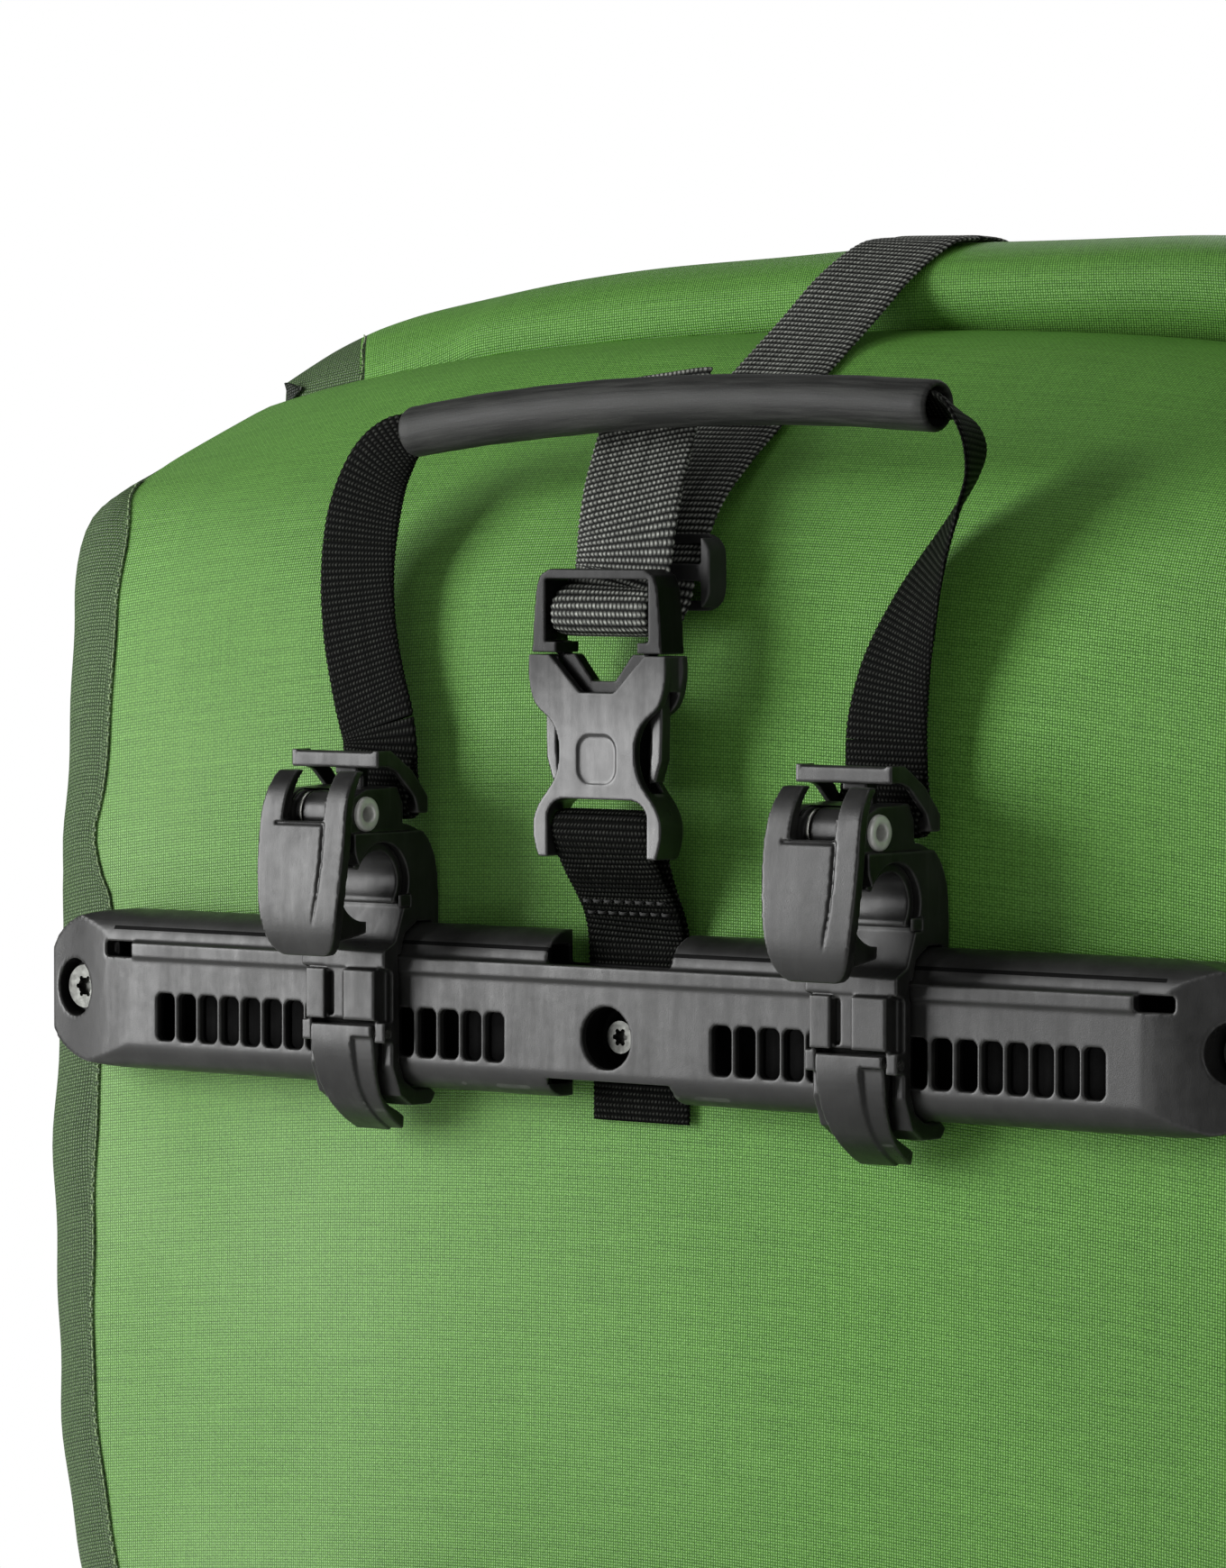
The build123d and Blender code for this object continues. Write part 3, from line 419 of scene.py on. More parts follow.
def metal(name, colour, tarnish, roughness, metallic=1.0):
    s = Shader(name, Metallic=metallic)
    place = s.place()
    scratch = s.noise(place, 900.0, 4.0, 0.7)
    spot = s.noise(place, 260.0, 3.0, 0.6)
    shown = s.mix(s.ramp(spot, 0.45, 0.75), colour, tarnish)
    worn = s.ramp(scratch, 0.3, 0.7, roughness - 0.08, roughness + 0.12)
    return s.finish(shown, worn, s.bump(scratch, 0.02 * MM, 0.6))


def thread(name, colour, dark):
    s = Shader(name, Sheen_Weight=0.2, Specular_IOR_Level=0.3)
    twist = s.noise(s.place(), 2600.0, 2.0)
    return s.finish(s.mix(s.ramp(twist, 0.35, 0.65), dark, colour), 0.65, s.bump(twist, 0.05 * MM))


# The green cloth carries the painted sheen towards the bag's lower left.
GREEN = woven("fabric_green", rgb(44, 84, 18), rgb(88, 146, 52), rgb(124, 182, 82), chalk_and_sheen=0.17)
DARK_GREEN = woven(
    "fabric_dark_green", rgb(20, 34, 13), rgb(56, 82, 41), rgb(98, 124, 78), pitch=0.75, relief=0.2
)
GREY_WEB = webbing("webbing_grey", rgb(12, 13, 11), rgb(94, 96, 91), rgb(196, 198, 190), 1.45)
BLACK_WEB = webbing("webbing_black", rgb(2, 3, 2), rgb(14, 15, 12), rgb(62, 64, 59), 1.2, 0.9, 0.04)
RAIL = moulded_plastic("rail_plastic", rgb(17, 17, 16), rgb(112, 112, 110), 0.42, 0.025, 0.05, 0.5)
# A near-black copy of the rail's plastic, for the faces inside its slots: painted shade.
RAIL_SLOT_SHADE = moulded_plastic("rail_slot_painted_shade", rgb(8, 8, 8), rgb(30, 30, 30), 0.6, 0.02, 0.05, 0.06)
HOOK = moulded_plastic("hook_plastic", rgb(14, 14, 13), rgb(112, 112, 110), 0.36, 0.02, 0.07, 0.4)
BUCKLE_FOOT, BUCKLE_HEAD = (corner.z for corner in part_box("buckle_female"))
BUCKLE_TOP = (BUCKLE_FOOT * 0.4 + BUCKLE_HEAD * 0.6, BUCKLE_HEAD)
BUCKLE = moulded_plastic(
    "buckle_plastic", rgb(15, 15, 15), rgb(112, 112, 110), 0.33, 0.015, 0.03, 0.66, BUCKLE_TOP
)
# A darker, less glossy copy of the buckle's plastic for its plug half: painted shade.
BUCKLE_FRAME_SHADED = moulded_plastic(
    "buckle_frame_shaded_plastic", rgb(10, 10, 10), rgb(90, 90, 88), 0.32, 0.015, 0.04, 0.14
)
# Near-black cloth for sheets that stand in for the shade in the roll's folds: painted shade.
FOLD_SHADE = woven("fold_painted_shade", rgb(3, 6, 1), rgb(12, 22, 6), rgb(26, 42, 16))
INNER = moulded_plastic("inner_plastic", rgb(60, 60, 60), rgb(110, 110, 110), 0.5)
TUBE = rubber("handle_rubber", rgb(26, 27, 25), rgb(72, 73, 70))
STEEL = metal("steel", rgb(206, 206, 200), rgb(150, 150, 142), 0.28)
RIVET = metal("rivet", rgb(206, 206, 202), rgb(170, 170, 166), 0.38, 0.35)
SCREW = metal("screw_black", rgb(92, 93, 90), rgb(60, 60, 58), 0.46)
PALE_THREAD = thread("thread_pale", rgb(170, 192, 146), rgb(104, 128, 84))
DARK_THREAD = thread("thread_dark", rgb(30, 31, 28), rgb(12, 12, 11))
GREY_THREAD = thread("thread_grey", rgb(120, 122, 116), rgb(66, 67, 62))

# ---- bag body ----

CROWN = 2.6
# height and setback of the middle of the panel, the same at its seams, and the seam's x.
# The rear rows also give how far the side reaches.
REAR_ROWS = (
    (-258, 24, -258, 27, 98, 106), (-255, 16, -255, 19, 103, 113), (-246, 12.6, -246, 13.6, 107, 119),
    (-200, 12, -200, 12.8, 122, 136), (-140, 12, -140, 12.8, 141, 157),
    (-90, 12, -90, 12.8, 152, 167.6), (-50, 12.3, -50, 12.9, 153, 168.2),
    (-20, 12.6, -20, 13.1, 151.8, 167.8), (6, 12.8, 6, 13.3, 149.6, 167.6),
    (21, 12.8, 21, 13.3, 147.8, 167.4), (29, 12.8, 29, 13.2, 151, 166),
    (37, 12.8, 37, 13.3, 152.6, 165.6), (46, 12.9, 46, 13.5, 150.4, 165.4),
    (60, 13, 60, 13.8, 148.8, 165.6), (80, 14.4, 80, 15.4, 148.6, 167.2),
    (95, 18, 92, 17.6, 149, 167.4), (107, 25, 104, 23, 151, 166), (117, 34, 110.5, 30, 155.4, 161.6),
    (127, 45, 116, 42, 157.2, 159), (134.5, 54.5, 121, 54, 157, 157.8),
    (139.2, 61, 125.6, 65, 156, 156.6), (142, 69, 129.5, 75, 155, 155.6),
    (143.6, 79, 131.6, 86, 154, 154.6),
)
FRONT_ROWS = (
    (-258, 24, -258, 27, 98), (-255, 15, -255, 18, 103), (-246, 11, -246, 13, 107),
    (-200, 8, -200, 12.4, 122), (-140, 7.4, -140, 12.4, 141), (-90, 7.4, -90, 12.4, 152),
    (-50, 7.4, -50, 12.4, 153), (-20, 7.8, -20, 12.6, 151.8), (6, 8.2, 6, 12.6, 150.4),
    (21, 8.6, 21, 12.7, 150), (29, 9, 29, 12.8, 150), (37, 9.6, 37, 12.9, 150),
    (46, 10.2, 46, 13.2, 149.6), (60, 11.4, 60, 13.6, 148.8), (80, 14.4, 80, 15.8, 148.6),
    (95, 20, 92, 18, 149), (107, 27, 104, 24, 151), (117, 34, 110.5, 31, 153.5),
    (127, 44, 116, 43, 154.6), (136, 53, 121, 54, 153.6), (144, 62, 125.6, 64, 152.5),
    (150, 71, 129.5, 73, 151), (154, 78, 131.6, 79, 150),
)
ROW_COUNT = 120
PANEL_COLUMNS = 97
GUSSET_COLUMNS = 45
TAPE_TOP = 113  # the seam tape ends at this height
TAPE_TAPER = 14  # and narrows over this much below it


def rows_of(table):
    return resample(catmull(table, 24), ROW_COUNT, 2)[0]


def panel_grid(table, front):
    """One big panel, from the base to where it goes in under the roll."""
    rows = rows_of(table)
    u = np.linspace(-1, 1, PANEL_COLUMNS)[None, :]
    blend = np.abs(u) ** CROWN
    z = rows[:, 0:1] + (rows[:, 2:3] - rows[:, 0:1]) * blend
    y = rows[:, 1:2] + (rows[:, 3:4] - rows[:, 1:2]) * blend
    y = 2 * MIDDLE_Y - y if front else y
    return np.stack([rows[:, 4:5] * u + 0 * y, y, z], 2)


def gusset_grid(rear, front, side):
    """A side panel between the two seams, rounded at its corners and tucked in towards the top."""
    column = -1 if side > 0 else 0
    a, b = rear[:, column], front[:, column]
    depth = b[:, 1] - a[:, 1]
    corner = np.minimum(8.0, depth * 0.42)
    turn = np.linspace(0, math.pi / 2, 9)
    reach = rows_of(REAR_ROWS)[:, 5] - np.abs(a[:, 0])
    flat = np.linspace(0, 1, GUSSET_COLUMNS - 16)[1:-1]
    out = []
    for r in range(len(a)):
        d = list(corner[r] * (1 - np.cos(turn)))
        d += list(corner[r] + flat * (depth[r] - 2 * corner[r]))
        d += list(depth[r] - corner[r] * (1 - np.cos(turn[::-1])))
        push = list(reach[r] * np.sin(turn)) + [reach[r]] * len(flat) + list(reach[r] * np.sin(turn[::-1]))
        d, push = np.array(d), np.array(push)
        t = d / depth[r]
        z = a[r, 2] + (b[r, 2] - a[r, 2]) * t
        height = a[r, 2]
        tuck = np.interp(height, [-200, -60, 40, 90, 110, 122, 131], [0, 1.0, 5, 12, 24, 36, 44])
        fold = np.clip((1 - np.abs(2 * t - 1)) * 1.25 - 0.25, 0, 1) ** 1.5
        pillow = np.interp(height, [-258, -200, -60, 60, 110], [0, 4, 6, 4, 0]) * np.sin(math.pi * t) ** 2
        x = a[r, 0] * side + push - tuck * fold + pillow
        out.append(np.stack([side * x, a[r, 1] + d, z], 1))
    return np.array(out)


def ripple(grid, amount, seed, scale=0.011, stretch=(1, 1, 1)):
    """Slow soft creases over a grid, fading out at its edges."""
    rng = np.random.default_rng(seed)
    rows, columns = grid.shape[:2]
    bump = np.zeros((rows, columns))
    for _ in range(14):
        direction = rng.normal(size=3) * np.array(stretch)
        phase, size = rng.uniform(0, 2 * math.pi), rng.uniform(0.6, 2.2) * scale
        bump += np.sin(grid @ (direction * size * 2 * math.pi / 1.7) + phase) / (0.6 + size / scale)
    fade = np.ones((rows, columns))
    fade *= np.clip(np.minimum(np.arange(rows), rows - 1 - np.arange(rows)) / 10, 0, 1)[:, None]
    fade *= np.clip(np.minimum(np.arange(columns), columns - 1 - np.arange(columns)) / 7, 0, 1)[None, :]
    across = unit(np.gradient(grid, axis=1))
    up = unit(np.gradient(grid, axis=0))
    normal = unit(np.cross(across, up))
    return grid + normal * (bump / 14 * amount * 4 * fade)[:, :, None]


def body():
    rear = panel_grid(REAR_ROWS, False)
    front = panel_grid(FRONT_ROWS, True)
    sides = {side: gusset_grid(rear, front, side) for side in (-1, 1)}
    rear_shown = ripple(rear, 0.4, 3)
    front_shown = ripple(front, 3.0, 5)
    pieces = [
        (sheet_piece("bag_rear_panel", rear_shown, GREEN, 1.6, -1), "rear_panel", "fabric_green"),
        (sheet_piece("bag_front_panel", front_shown, GREEN, 1.6, 1), "front_panel", "fabric_green"),
    ]
    for side, word in ((-1, "left"), (1, "right")):
        grid = ripple(sides[side], 3.4, 7 + side, 0.014, (1, 1, 0.7))
        piece = sheet_piece(f"bag_gusset_{word}", grid, DARK_GREEN, 1.6, -side)
        pieces.append((piece, f"side_gusset_{word}", "fabric_dark_green"))
    ring = np.vstack([rear[0], sides[1][0][1:], front[0][::-1][1:], sides[-1][0][::-1][1:-1]])
    middle = ring.mean(0) + np.array([0, 0, 3.0])
    levels = [(1.0, 0.0), (0.97, 0.0), (0.9, 1.5), (0.7, 2.6), (0.4, 3.0), (0.1, 3.0)]
    flat_middle, foot = middle * [1, 1, 0], ring[0, 2]
    base = np.array([flat_middle + (ring - middle) * [k, k, 0] + [0, 0, foot + up] for k, up in levels])
    base = np.concatenate([base, base[:, :1]], 1)
    pieces.append((sheet_piece("bag_base", base, DARK_GREEN, 1.6, -1), "base_panel", "fabric_dark_green"))
    for piece, node, slot in pieces:
        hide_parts(node)
        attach(piece, "bag")
    for side, word in ((-1, "left"), (1, "right")):
        for grid, where, seed in ((rear, "rear", 11), (front, "front", 17)):
            seam(f"seam_{where}_{word}", grid, side, where == "front", seed + side)


def seam(name, panel, side, front, seed):
    """The gusset's edge tape lies over the panel, held by one row of pale stitches."""
    column = -1 if side > 0 else 0
    inner = -4 if side > 0 else 3
    edge, inside = panel[:, column], panel[:, inner]
    inward = unit(inside - edge)
    up = unit(np.gradient(edge, axis=0))
    out = unit(np.cross(up, inward)) * side
    out = np.where(out[:, 1:2] * (1 if front else -1) < 0, -out, out)
    wave = 0.35 * np.sin(np.arange(len(edge)) * 0.9)[:, None]
    width = np.clip((TAPE_TOP - edge[:, 2:]) / TAPE_TAPER, 0.1, 1)
    lip = edge + inward * (1.5 + wave * 0.6) * width + out * 0.2
    tape = np.stack([edge - inward * 0.6, edge + out * 0.3, edge + inward * 0.9 * width + out * 0.34, lip], 1)
    last = int((edge[:, 2] < TAPE_TOP).sum())
    piece = sheet_piece(f"{name}_tape", tape[:last], DARK_GREEN, 0.3, 0)
    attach(piece, "bag")
    line = lip + out * 0.16 - inward * 0.35
    row = thread_row(f"{name}_stitches", line[2:last], out[2:last], PALE_THREAD, 1.7, 0.6, 0.2, 0.25, seed)
    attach(row, "bag")


# ---- roll ----

ROLL_HALF = 160.4
ROLL_SEAM = 142.7
ROLL_TURNS = 2.6
# x along the roll, the height of its crest, half its height, how far its middle comes forward,
# and half its depth
ROLL_LINE = (
    (-160.4, 134.4, 4.6, 12, 4.5), (-155, 137.6, 7.4, 10.5, 7), (-149, 141.0, 9.6, 8.8, 10),
    (-142.7, 144.0, 11.4, 7, 12.5), (-136.7, 146.5, 12.6, 5, 14.8), (-126, 149.7, 13.2, 2.5, 17),
    (-112, 152.7, 13.3, 0, 18.6), (-97, 155.0, 13.3, 0, 18.6), (-84, 156.5, 13.3, 0, 18.6),
    (-60, 158.6, 13.3, 0, 18.6), (-36, 160.2, 13.3, 0, 18.6), (-10, 161.5, 13.3, 0, 18.6),
    (20, 162.4, 13.3, 0, 18.6), (55, 162.9, 13.3, 0, 18.6), (85, 162.5, 13.3, 0, 18.6),
    (110, 160.4, 13.3, 0, 18.6), (128, 157.0, 13.3, 0, 18.6), (136, 154.6, 13.0, 2.5, 17),
    (142.7, 151.6, 12.2, 5, 14.8), (149, 148.0, 11, 7, 12.5), (155, 144.0, 9, 9, 10),
    (160.4, 140.0, 5.5, 12, 5),
)


def roll_ring(x, angles=None, size=1.0):
    """One section of the roll at x: a flattened oval, cut on a slant and pinched flat towards its ends."""
    line = catmull(ROLL_LINE, 12)
    crest, tall, forward, deep = [float(np.interp(x, line[:, 0], line[:, c])) for c in (1, 2, 3, 4)]
    angles = np.linspace(0, 2 * math.pi, 97) if angles is None else angles
    squash = 1 - 0.05 * np.cos(3 * angles + 0.6 + x * 0.006)
    y = (deep + 0.5 * math.sin(x * 0.05)) * np.cos(angles) * squash * size
    z = (tall + 0.2 * math.sin(x * 0.083 + 1)) * np.sin(angles) * squash * size
    slant = 0.8 * float(np.clip((abs(x) - 100) / 30, 0, 1)) * np.sign(x)
    return np.stack([x + slant * y, MIDDLE_Y - forward + y, crest - tall + z], 1)


def roll_piece(name, xs, material):
    grid = np.array([roll_ring(x) for x in xs])
    rows, columns = grid.shape[:2]
    uv = cloth_map(grid)[:, :, ::-1].reshape(-1, 2)
    piece = link(name, at(grid.reshape(-1, 3)), grid_faces(rows, columns), material, uv)
    solid = piece.modifiers.new("thickness", "SOLIDIFY")
    solid.thickness = 1.2 * MM
    solid.offset = -1
    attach(piece, "bag")
    return piece


def spiral(name, side):
    """The roll's end: layers of fabric wound round the stiffener."""
    angles = np.linspace(0, 2 * math.pi * ROLL_TURNS, 160)
    size = np.linspace(0.16, 0.9, len(angles))
    places = np.linspace(ROLL_HALF - 16, ROLL_HALF - 0.4, 5)
    grid = np.array([roll_ring(side * x, angles, size) for x in places])
    piece = sheet_piece(name, grid, DARK_GREEN, 1.3, 0)
    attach(piece, "bag")


def fold_shade_sheet(name, upper, lower):
    """A near-black sheet laid on the roll as painted shade, in place of the shaded mouth of a small fold."""
    upper, lower = (catmull(line, 8) for line in (upper, lower))
    steps = (0, 0.25, 0.5, 0.75, 1)
    rows = [upper * (1 - t) + lower * t + [0, 0.8 * math.sin(math.pi * t), 0] for t in steps]
    grid = np.stack(rows, 1)
    piece = sheet_piece(name, grid, FOLD_SHADE, 0.4, 0)
    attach(piece, "bag")


def roll():
    centre = roll_piece("roll_fabric", np.linspace(-ROLL_SEAM, ROLL_SEAM, 150), GREEN)
    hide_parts("roll_top")
    for side, word in ((-1, "left"), (1, "right")):
        xs = side * np.linspace(ROLL_SEAM - 1.2, ROLL_HALF, 12)
        roll_piece(f"roll_end_{word}", xs if side > 0 else xs[::-1], DARK_GREEN)
        spiral(f"roll_layers_{word}", side)
        ring = roll_ring(side * (ROLL_SEAM - 0.6))[:-1]
        ring[:, 0] += 0.3 * np.sin(np.arange(len(ring)) * 0.5)
        out = (ring - ring.mean(0)) * [0, 1, 1]
        line = ring + unit(out) * 0.12
        row = thread_row(f"roll_stitches_{word}", line, out, PALE_THREAD, 1.8, 0.5, 0.16, 0.3, 23)
        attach(row, "bag")
    # Two painted-shade sheets where the roll's small folds are shaded.
    fold_shade_sheet(
        "roll_fold_shade_middle",
        ((-97.0, 78.9, 142.6), (-93.6, 78.4, 141.4), (-89.8, 78.2, 140.2), (-86.0, 78.6, 139.0)),
        ((-99.0, 80.6, 138.2), (-95.0, 80.2, 138.2), (-90.4, 79.6, 138.5), (-86.0, 78.6, 139.0)),
    )
    fold_shade_sheet(
        "roll_fold_shade_end",
        ((-156.6, 80.4, 134.4), (-155.2, 80.2, 134.3), (-153.4, 80.2, 133.8), (-151.6, 80.2, 133.2)),
        ((-156.4, 80.4, 128.6), (-154.8, 80.2, 129.8), (-153.2, 80.2, 131.4), (-151.6, 80.2, 133.2)),
    )


# ---- webbing ----

STRAP = 1.5
HALF = 12.5


def flat(points, half=HALF):
    """Stations of a strap whose width lies along X."""
    return [(x, y, z, 1, 0, 0, half) for x, y, z in points]


def closure():
    over = [
        (10, 188.0, 28), (10, 187.6, 60), (10, 183.5, 88), (10, 170, 112), (10, 150, 130), (10, 132, 146),
        (10, 118, 157.5), (10, 106, 162.2), (10, 97, 163.0),
    ]
    down = [
        (10, 97, 163.0), (8.8, 88, 161.6), (7, 77, 155), (5.2, 66, 145.5), (3.6, 54, 135.8), (2.6, 42, 126.5),
        (2.0, 30, 117.4), (1.8, 20, 108.5), (1.8, 14.5, 100),
        (1.8, 11.2, 94), (1.2, 9.8, 88.5), (0.2, 7.6, 83.6),
    ]
    bight = [
        (0, 8.2, 86.4), (0, 6.2, 83.6), (0, 3.0, 82.2), (0, 0.0, 82.5), (0, -1.9, 84.2), (0, -2.1, 87.4),
        (0, -0.6, 89.8), (0.2, 1.8, 91.6), (1.0, 4.0, 95.0),
        (0.6, 6.0, 102), (-1.8, 11, 111), (-4.4, 17.5, 119.5),
        (-6.4, 23.4, 127), (-7.6, 27.8, 134),
    ]
    top = ribbon("strap_over_roll", flat(over), STRAP, 1.45, 0.16, GREY_WEB)
    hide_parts("closure_strap")
    lower = ribbon("strap_rear", flat(down), STRAP, 1.45, 0.16, GREY_WEB)
    tail = ribbon("strap_outer_layer", flat(bight, 12.3), STRAP, 1.45, 0.16, GREY_WEB)
    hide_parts("strap_tail", "strap_bight")
    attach(top, "bag")
    strap_patch()
    for piece in (lower, tail):
        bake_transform(piece)


def strap_patch():
    xs = np.linspace(-18, 18, 13) + 10
    zs = np.linspace(24, 58, 13)
    grid = np.array([[(x, 186.2 + 0.12 * math.sin(x * 0.3), z) for x in xs] for z in zs])
    piece = sheet_piece("strap_patch", grid, DARK_GREEN, 1.4, 1)
    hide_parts("strap_anchor_patch")
    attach(piece, "bag")
    corners = [(-9, 31), (9, 31), (9, 49), (-9, 49), (-9, 31), (9, 49), (9, 31), (-9, 49)]
    line = resample(np.array([(x + 10, 188.9, z) for x, z in corners], float), 200)[0]
    row = thread_row("strap_patch_stitches", line, np.tile([0, 1, 0], (200, 1)), GREY_THREAD, 2.4, 0.8, 0.24)
    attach(row, "bag")


def anchor_webbing():
    """Black webbing round the female bar: its two layers meet at the stitches and go on behind the rail."""
    front = [
        (0, 2.6, 46.0), (0, 0.4, 46.4), (0, -1.4, 45.2), (0, -1.8, 42.4), (0, -0.6, 38.6), (0.1, 2.2, 34.0),
        (0.2, 5.4, 29.8), (0.2, 8.2, 25.4), (0, 9.8, 20.0), (0, 10.0, 12.0),
    ]
    back = [
        (0, 3.4, 44.0), (0.1, 4.2, 39.0), (0.2, 5.6, 34.0),
        (0.2, 7.8, 29.4), (0.2, 10.0, 25.0), (0, 11.4, 19.6),
        (0, 11.5, 5), (0, 11.5, -16.4),
    ]
    loop = ribbon("buckle_loop", flat(front, 12.3), 1.3, 1.05, 0.1, BLACK_WEB)
    strap = ribbon("buckle_anchor", flat(back, 12.4), 1.3, 1.05, 0.1, BLACK_WEB)
    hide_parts("buckle_anchor_webbing")
    for piece in (loop, strap):
        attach(piece, "bag")
    for index, z in enumerate((28.6, 26.2)):
        y = float(np.interp(z, [25.4, 29.8], [8.2, 5.4]))
        line = [(x, y - 0.62, z - 0.3) for x in np.linspace(-11, 11, 12)]
        away = [(0, -1, -0.6)] * len(line)
        row = thread_row(f"buckle_anchor_stitches_{index}", line, away, DARK_THREAD, 2.2, 0.5, 0.3)
        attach(row, "bag")


# ---- handle ----

WEB = 1.3
TUBE_LINE = (
    (-60.5, 12.0, 122.6), (-40, 12.0, 125.2), (-10, 12.0, 127.6), (20, 12.0, 128.6), (50, 12.0, 128.2),
    (73.5, 12.0, 127.0),
)
LEFT_LEG = (
    (-53, 12, 123.4, 0.1, 0.3, -0.95, 3.4), (-59.5, 12, 122.6, 0.25, 0.2, -0.95, 4.2),
    (-65, 11.6, 119.8, 0.6, 0.1, -0.8, 6.4), (-69.6, 10.8, 114, 0.86, 0, -0.5, 8.6),
    (-72.2, 9.6, 105, 0.97, 0, -0.22, 9.8), (-72.8, 8.4, 94, 1, 0, -0.05, 10),
    (-71.4, 7.4, 82, 1, 0, 0.1, 10), (-68.6, 6.8, 71, 1, 0, 0.12, 10),
    (-HOOK_X, 6.2, 61, 1, 0, 0.1, 10), (-HOOK_X, 6.9, 54, 1, 0, 0, 10), (-HOOK_X, 7.6, 49, 1, 0, 0, 10),
    (-HOOK_X, 7.9, 45.4, 1, 0, 0, 10),
)
RIGHT_LEG = (
    (66, 12, 127.6, 0.0, -0.5, 0.85, 3.4), (73, 12, 127.4, 0.0, -0.75, 0.66, 4.2),
    (78.4, 12.2, 125.4, 0.1, -0.95, 0.35, 6.4), (81.6, 12.6, 120, 0.3, -0.93, 0.2, 8.0),
    (81.4, 12.2, 113.5, 0.5, -0.86, 0.1, 9.0), (78.4, 11.0, 106, 0.66, -0.75, 0.1, 9.6),
    (74.4, 9.6, 97, 0.8, -0.6, 0.1, 10), (70.4, 8.4, 87, 0.92, -0.4, 0.06, 10),
    (67, 7.2, 76, 0.98, -0.18, 0, 10), (HOOK_X + 0.3, 6.4, 66, 1, -0.04, 0, 10),
    (HOOK_X, 6.4, 58, 1, 0, 0, 10), (HOOK_X, 7.2, 51, 1, 0, 0, 10), (HOOK_X, 7.9, 45.4, 1, 0, 0, 10),
)


def tube():
    dense = catmull(TUBE_LINE, 30)
    line, along = resample(dense, 90)
    tangent = unit(np.gradient(line, axis=0))
    side = unit(np.cross(tangent, [0, 1.0, 0]))
    deep = np.cross(side, tangent)
    angles = np.linspace(0, 2 * math.pi, 40, endpoint=False)
    rings, uvs = [], []

    def ring(i, r, shift):
        s = along[i]
        oval = 1 + 0.03 * math.sin(s * 0.045) * np.cos(2 * angles) + 0.006 * np.sin(s * 0.4 + 3 * angles)
        centre = line[i] + tangent[i] * shift
        out = side[i][None] * np.cos(angles)[:, None] + deep[i][None] * np.sin(angles)[:, None]
        rings.append(centre + out * (r * oval)[:, None])
        uvs.append(np.stack([np.full(40, s + shift), angles * 5.2], 1))

    last = len(line) - 1
    for r, shift in ((3.9, 6.0), (3.9, 1.0), (4.05, 0.1), (4.5, -0.15), (4.95, 0.1), (5.2, 0.7)):
        ring(0, r, shift)
    for i in range(2, last - 1):
        ring(i, 5.2, 0)
    for r, shift in ((5.2, -0.7), (4.95, -0.1), (4.5, 0.15), (4.05, -0.1), (3.9, -1.0), (3.9, -9.0)):
        ring(last, r, shift)
    grid = np.array(rings)
    faces = grid_faces(grid.shape[0], grid.shape[1], wrap=True)
    piece = link("handle_sleeve", at(grid.reshape(-1, 3)), faces, TUBE, np.array(uvs).reshape(-1, 2))
    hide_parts("handle_tube")
    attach(piece, "handle")


def leg(word, stations):
    """One leg in three lengths, from the handle down past the sliding hook to the hook's yoke."""
    dense, _ = resample(catmull(stations, 30), 300)
    z = dense[:, 2]
    first = int(np.argmax((z < 100) & (np.arange(300) > 60)))
    second = int(np.argmax((z < 62) & (np.arange(300) > 60)))
    hook = f"hook_{word}"
    cuts = (
        (0, first, ("handle", "bag")), (first, second, ("bag", hook)), (second, 299, (hook, f"{hook}_yoke")),
    )
    start = 0.0
    made = []
    for index, (i, j, bodies) in enumerate(cuts):
        part = dense[i : j + 1 : 3] if (j - i) % 3 == 0 else np.vstack([dense[i:j:3], dense[j : j + 1]])
        piece = ribbon(f"handle_{word}_web_{index}", part, WEB, 1.2, 0.11, BLACK_WEB, 14, start, 5)
        start += np.linalg.norm(np.diff(dense[i : j + 1, :3], axis=0), axis=1).sum()
        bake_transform(piece)
        made.append(piece)
    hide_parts(f"{hook}_webbing_loop")
    return made


def handle():
    tube()
    left = leg("left", LEFT_LEG)
    leg("right", RIGHT_LEG)
    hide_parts("handle_webbing")
    for word, side in (("left", -1), ("right", 1)):
        hook = f"hook_{word}"
        x = side * HOOK_X
        back = [
            (x, 7.9, 45.4), (x, 6.6, 43.9), (x, 4.6, 44.0), (x, 3.7, 46.0), (x, 4.4, 50.0), (x, 5.2, 56.0),
        ]
        turn = ribbon(f"{hook}_web_turn", flat(back, 10), WEB, 1.2, 0.11, BLACK_WEB, 14)
        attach(turn, f"{hook}_yoke")


# ---- moulded parts ----


def moulded(node, voxel, body_name, material, rounds=4):
    """The CAD part with its edges softened, as they are where a mould rounds them."""
    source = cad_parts[node]
    piece = bpy.data.objects.new(f"{node}_moulded", source.data.copy())
    bpy.context.scene.collection.objects.link(piece)
    piece.data.materials.clear()
    piece.data.materials.append(material)
    remesh = piece.modifiers.new("remesh", "REMESH")
    remesh.mode = "VOXEL"
    remesh.voxel_size = voxel * MM
    soften = piece.modifiers.new("soften", "SMOOTH")
    soften.factor = 0.5
    soften.iterations = rounds
    view = bpy.context.evaluated_depsgraph_get()
    mesh = bpy.data.meshes.new_from_object(piece.evaluated_get(view))
    piece.modifiers.clear()
    piece.data = mesh
    mesh.materials.clear()
    mesh.materials.append(material)
    mesh.shade_smooth()
    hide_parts(node)
    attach(piece, body_name)
    return piece


def paint(node, material):
    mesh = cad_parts[node].data
    mesh.materials.clear()
    mesh.materials.append(material)
    mesh.shade_smooth()


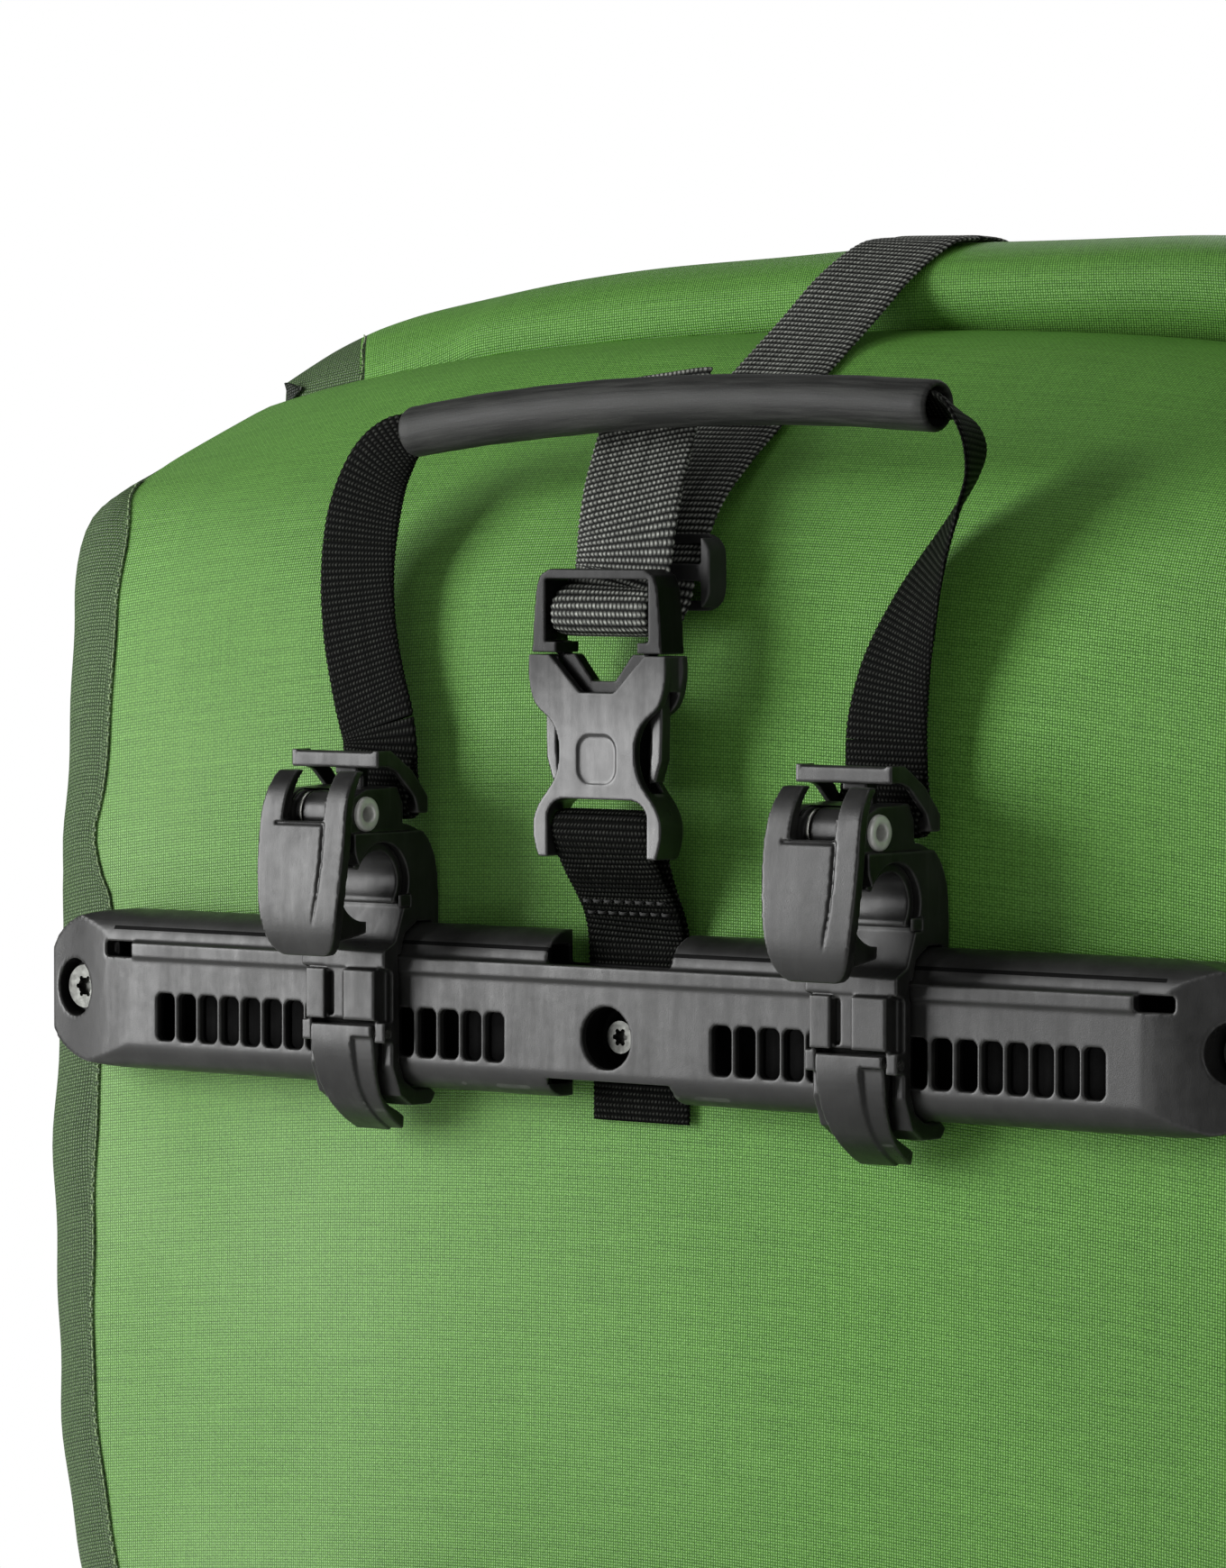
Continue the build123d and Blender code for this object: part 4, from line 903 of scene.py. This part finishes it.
def rivet(hook):
    """A hollow rivet through the latch's pivot, with a rolled rim at each end."""
    low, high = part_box(f"{hook}_rivet")
    middle, half = (low + high) / 2, (high.x - low.x) / 2 / MM
    profile = [
        (half - 1.4, 1.6), (half - 0.4, 1.6), (half - 0.1, 1.7), (half + 0.15, 2.0), (half + 0.2, 2.5),
        (half + 0.05, 3.1), (half - 0.3, 3.5), (half - 0.8, 3.6),
    ]
    outline = [(-x, r) for x, r in profile[::-1]] + profile
    angles = np.linspace(0, 2 * math.pi, 48, endpoint=False)
    rings = [np.stack([np.full(48, x), r * np.cos(angles), r * np.sin(angles)], 1) for x, r in outline]
    verts = np.concatenate(rings) * MM + np.array(middle)
    piece = link(f"{hook}_rivet_ring", verts, grid_faces(len(rings), 48, wrap=True), RIVET)
    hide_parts(f"{hook}_rivet")
    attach(piece, hook)


# the rail's slots: how far in their faces take a near-black painted shade, and the strip that they lie in
SLOT_INSIDE, SLOT_LOW, SLOT_HIGH, SLOT_END = 1.3, -9, 18.6, 135


def hardware():
    fine = 0.3
    rail = moulded("mounting_rail", 0.4, "bag", RAIL, 3)
    # Faces deep inside the slots take the near-black copy: painted shade.
    rail.data.materials.append(RAIL_SLOT_SHADE)
    centres = np.zeros(len(rail.data.polygons) * 3)
    rail.data.polygons.foreach_get("center", centres)
    x, y, z = (centres.reshape(-1, 3) - np.array(ORIGIN)).T / MM
    painted_shade_faces = (y > SLOT_INSIDE) & (z > SLOT_LOW) & (z < SLOT_HIGH) & (np.abs(x) < SLOT_END)
    rail.data.polygons.foreach_set("material_index", painted_shade_faces.astype(np.int32))
    moulded("lower_rail", 0.8, "bag", RAIL, 3)
    moulded("lower_hook_carriage", 0.5, "lower_hook_carriage", HOOK)
    moulded("lower_hook", 0.5, "lower_hook", HOOK)
    for node, body_name in (
        ("buckle_female", "bag"), ("buckle_male", "buckle_male"), ("strap_slider", "strap_slider"),
        ("buckle_arm_left", "buckle_arm_left"), ("buckle_arm_right", "buckle_arm_right"),
    ):
        # The plug half takes the darker copy: painted shade.
        material = BUCKLE_FRAME_SHADED if node == "buckle_male" else BUCKLE
        moulded(node, fine, body_name, material, 3)
    for word in ("left", "right"):
        hook = f"hook_{word}"
        for part, body_name in (
            ("carriage", hook), ("latch", f"{hook}_latch"), ("tube_insert", hook), ("yoke", f"{hook}_yoke"),
            ("lock_lever", f"{hook}_lock"),
        ):
            moulded(f"{hook}_{part}", fine, body_name, HOOK)
        for part in ("latch_spring", "lock_pin"):
            paint(f"{hook}_{part}", STEEL)
        rivet(hook)
    for node in ("rail_screws", "lower_rail_screws"):
        paint(node, SCREW)
    for node in ("rail_nuts", "lower_rail_nuts"):
        paint(node, STEEL)
    for node in ("inner_backer_plate", "roll_stiffener"):
        paint(node, INNER)


# ---- stage, lights and camera ----

AZIMUTH = math.radians(39)
ELEVATION = math.radians(2.3)
DISTANCE = 1.459
LENS = 167.9


def camera():
    data = bpy.data.cameras.new("camera")
    data.lens = LENS
    data.sensor_width = 36
    target = Vector(at((1.9, 0, 52.1)))
    forward = Vector((
        -math.sin(AZIMUTH) * math.cos(ELEVATION),
        math.cos(AZIMUTH) * math.cos(ELEVATION),
        -math.sin(ELEVATION),
    ))
    made = bpy.data.objects.new("camera", data)
    made.location = target - forward * DISTANCE
    made.rotation_euler = forward.to_track_quat("-Z", "Y").to_euler()
    bpy.context.scene.collection.objects.link(made)
    bpy.context.scene.camera = made


def area(name, place, aim, size, power):
    data = bpy.data.lights.new(name, "AREA")
    data.shape = "RECTANGLE"
    data.size, data.size_y = size
    data.energy = power
    made = bpy.data.objects.new(name, data)
    made.location = place
    made.rotation_euler = (Vector(aim) - Vector(place)).to_track_quat("-Z", "Y").to_euler()
    bpy.context.scene.collection.objects.link(made)


def stage():
    radius = 0.85
    angles = np.linspace(0, 2 * math.pi, 96, endpoint=False)
    ring = [(radius * math.cos(a), radius * math.sin(a), 0.0) for a in angles]
    s = Shader("floor", 0.7, Specular_IOR_Level=0.2)
    s.finish(s.mix(s.noise(s.place(), 40.0), (0.82, 0.82, 0.81, 1), (0.86, 0.86, 0.85, 1)))
    floor = link("floor", ring, [tuple(range(96))], s.material)
    middle = Vector(at((0, 0, 40)))
    area("key", middle + Vector((-1.12, -0.93, 0.22)), middle, (0.75, 1.1), 29)
    area("top", middle + Vector((0.1, -0.1, 1.3)), middle, (0.9, 0.6), 1.5)
    area("fill", middle + Vector((1.1, -0.6, 0.3)), middle, (0.6, 1.0), 2.5)
    area("back", middle + Vector((-0.2, 1.4, 0.6)), middle, (1.2, 0.8), 6)
    world = bpy.data.worlds.new("studio")
    bpy.context.scene.world = world
    world.use_nodes = True
    tree = world.node_tree
    dim = tree.nodes["Background"]
    dim.inputs[0].default_value = (1, 1, 1, 1)
    dim.inputs[1].default_value = 0.16
    white = tree.nodes.new("ShaderNodeBackground")
    white.inputs[0].default_value = (1, 1, 1, 1)
    white.inputs[1].default_value = 1.0
    ray = tree.nodes.new("ShaderNodeLightPath")
    mix = tree.nodes.new("ShaderNodeMixShader")
    tree.links.new(ray.outputs["Is Camera Ray"], mix.inputs[0])
    tree.links.new(dim.outputs[0], mix.inputs[1])
    tree.links.new(white.outputs[0], mix.inputs[2])
    tree.links.new(mix.outputs[0], tree.nodes["World Output"].inputs[0])
    bpy.context.scene.view_settings.view_transform = "Standard"


camera()
body()
roll()
closure()
anchor_webbing()
handle()
hardware()
stage()
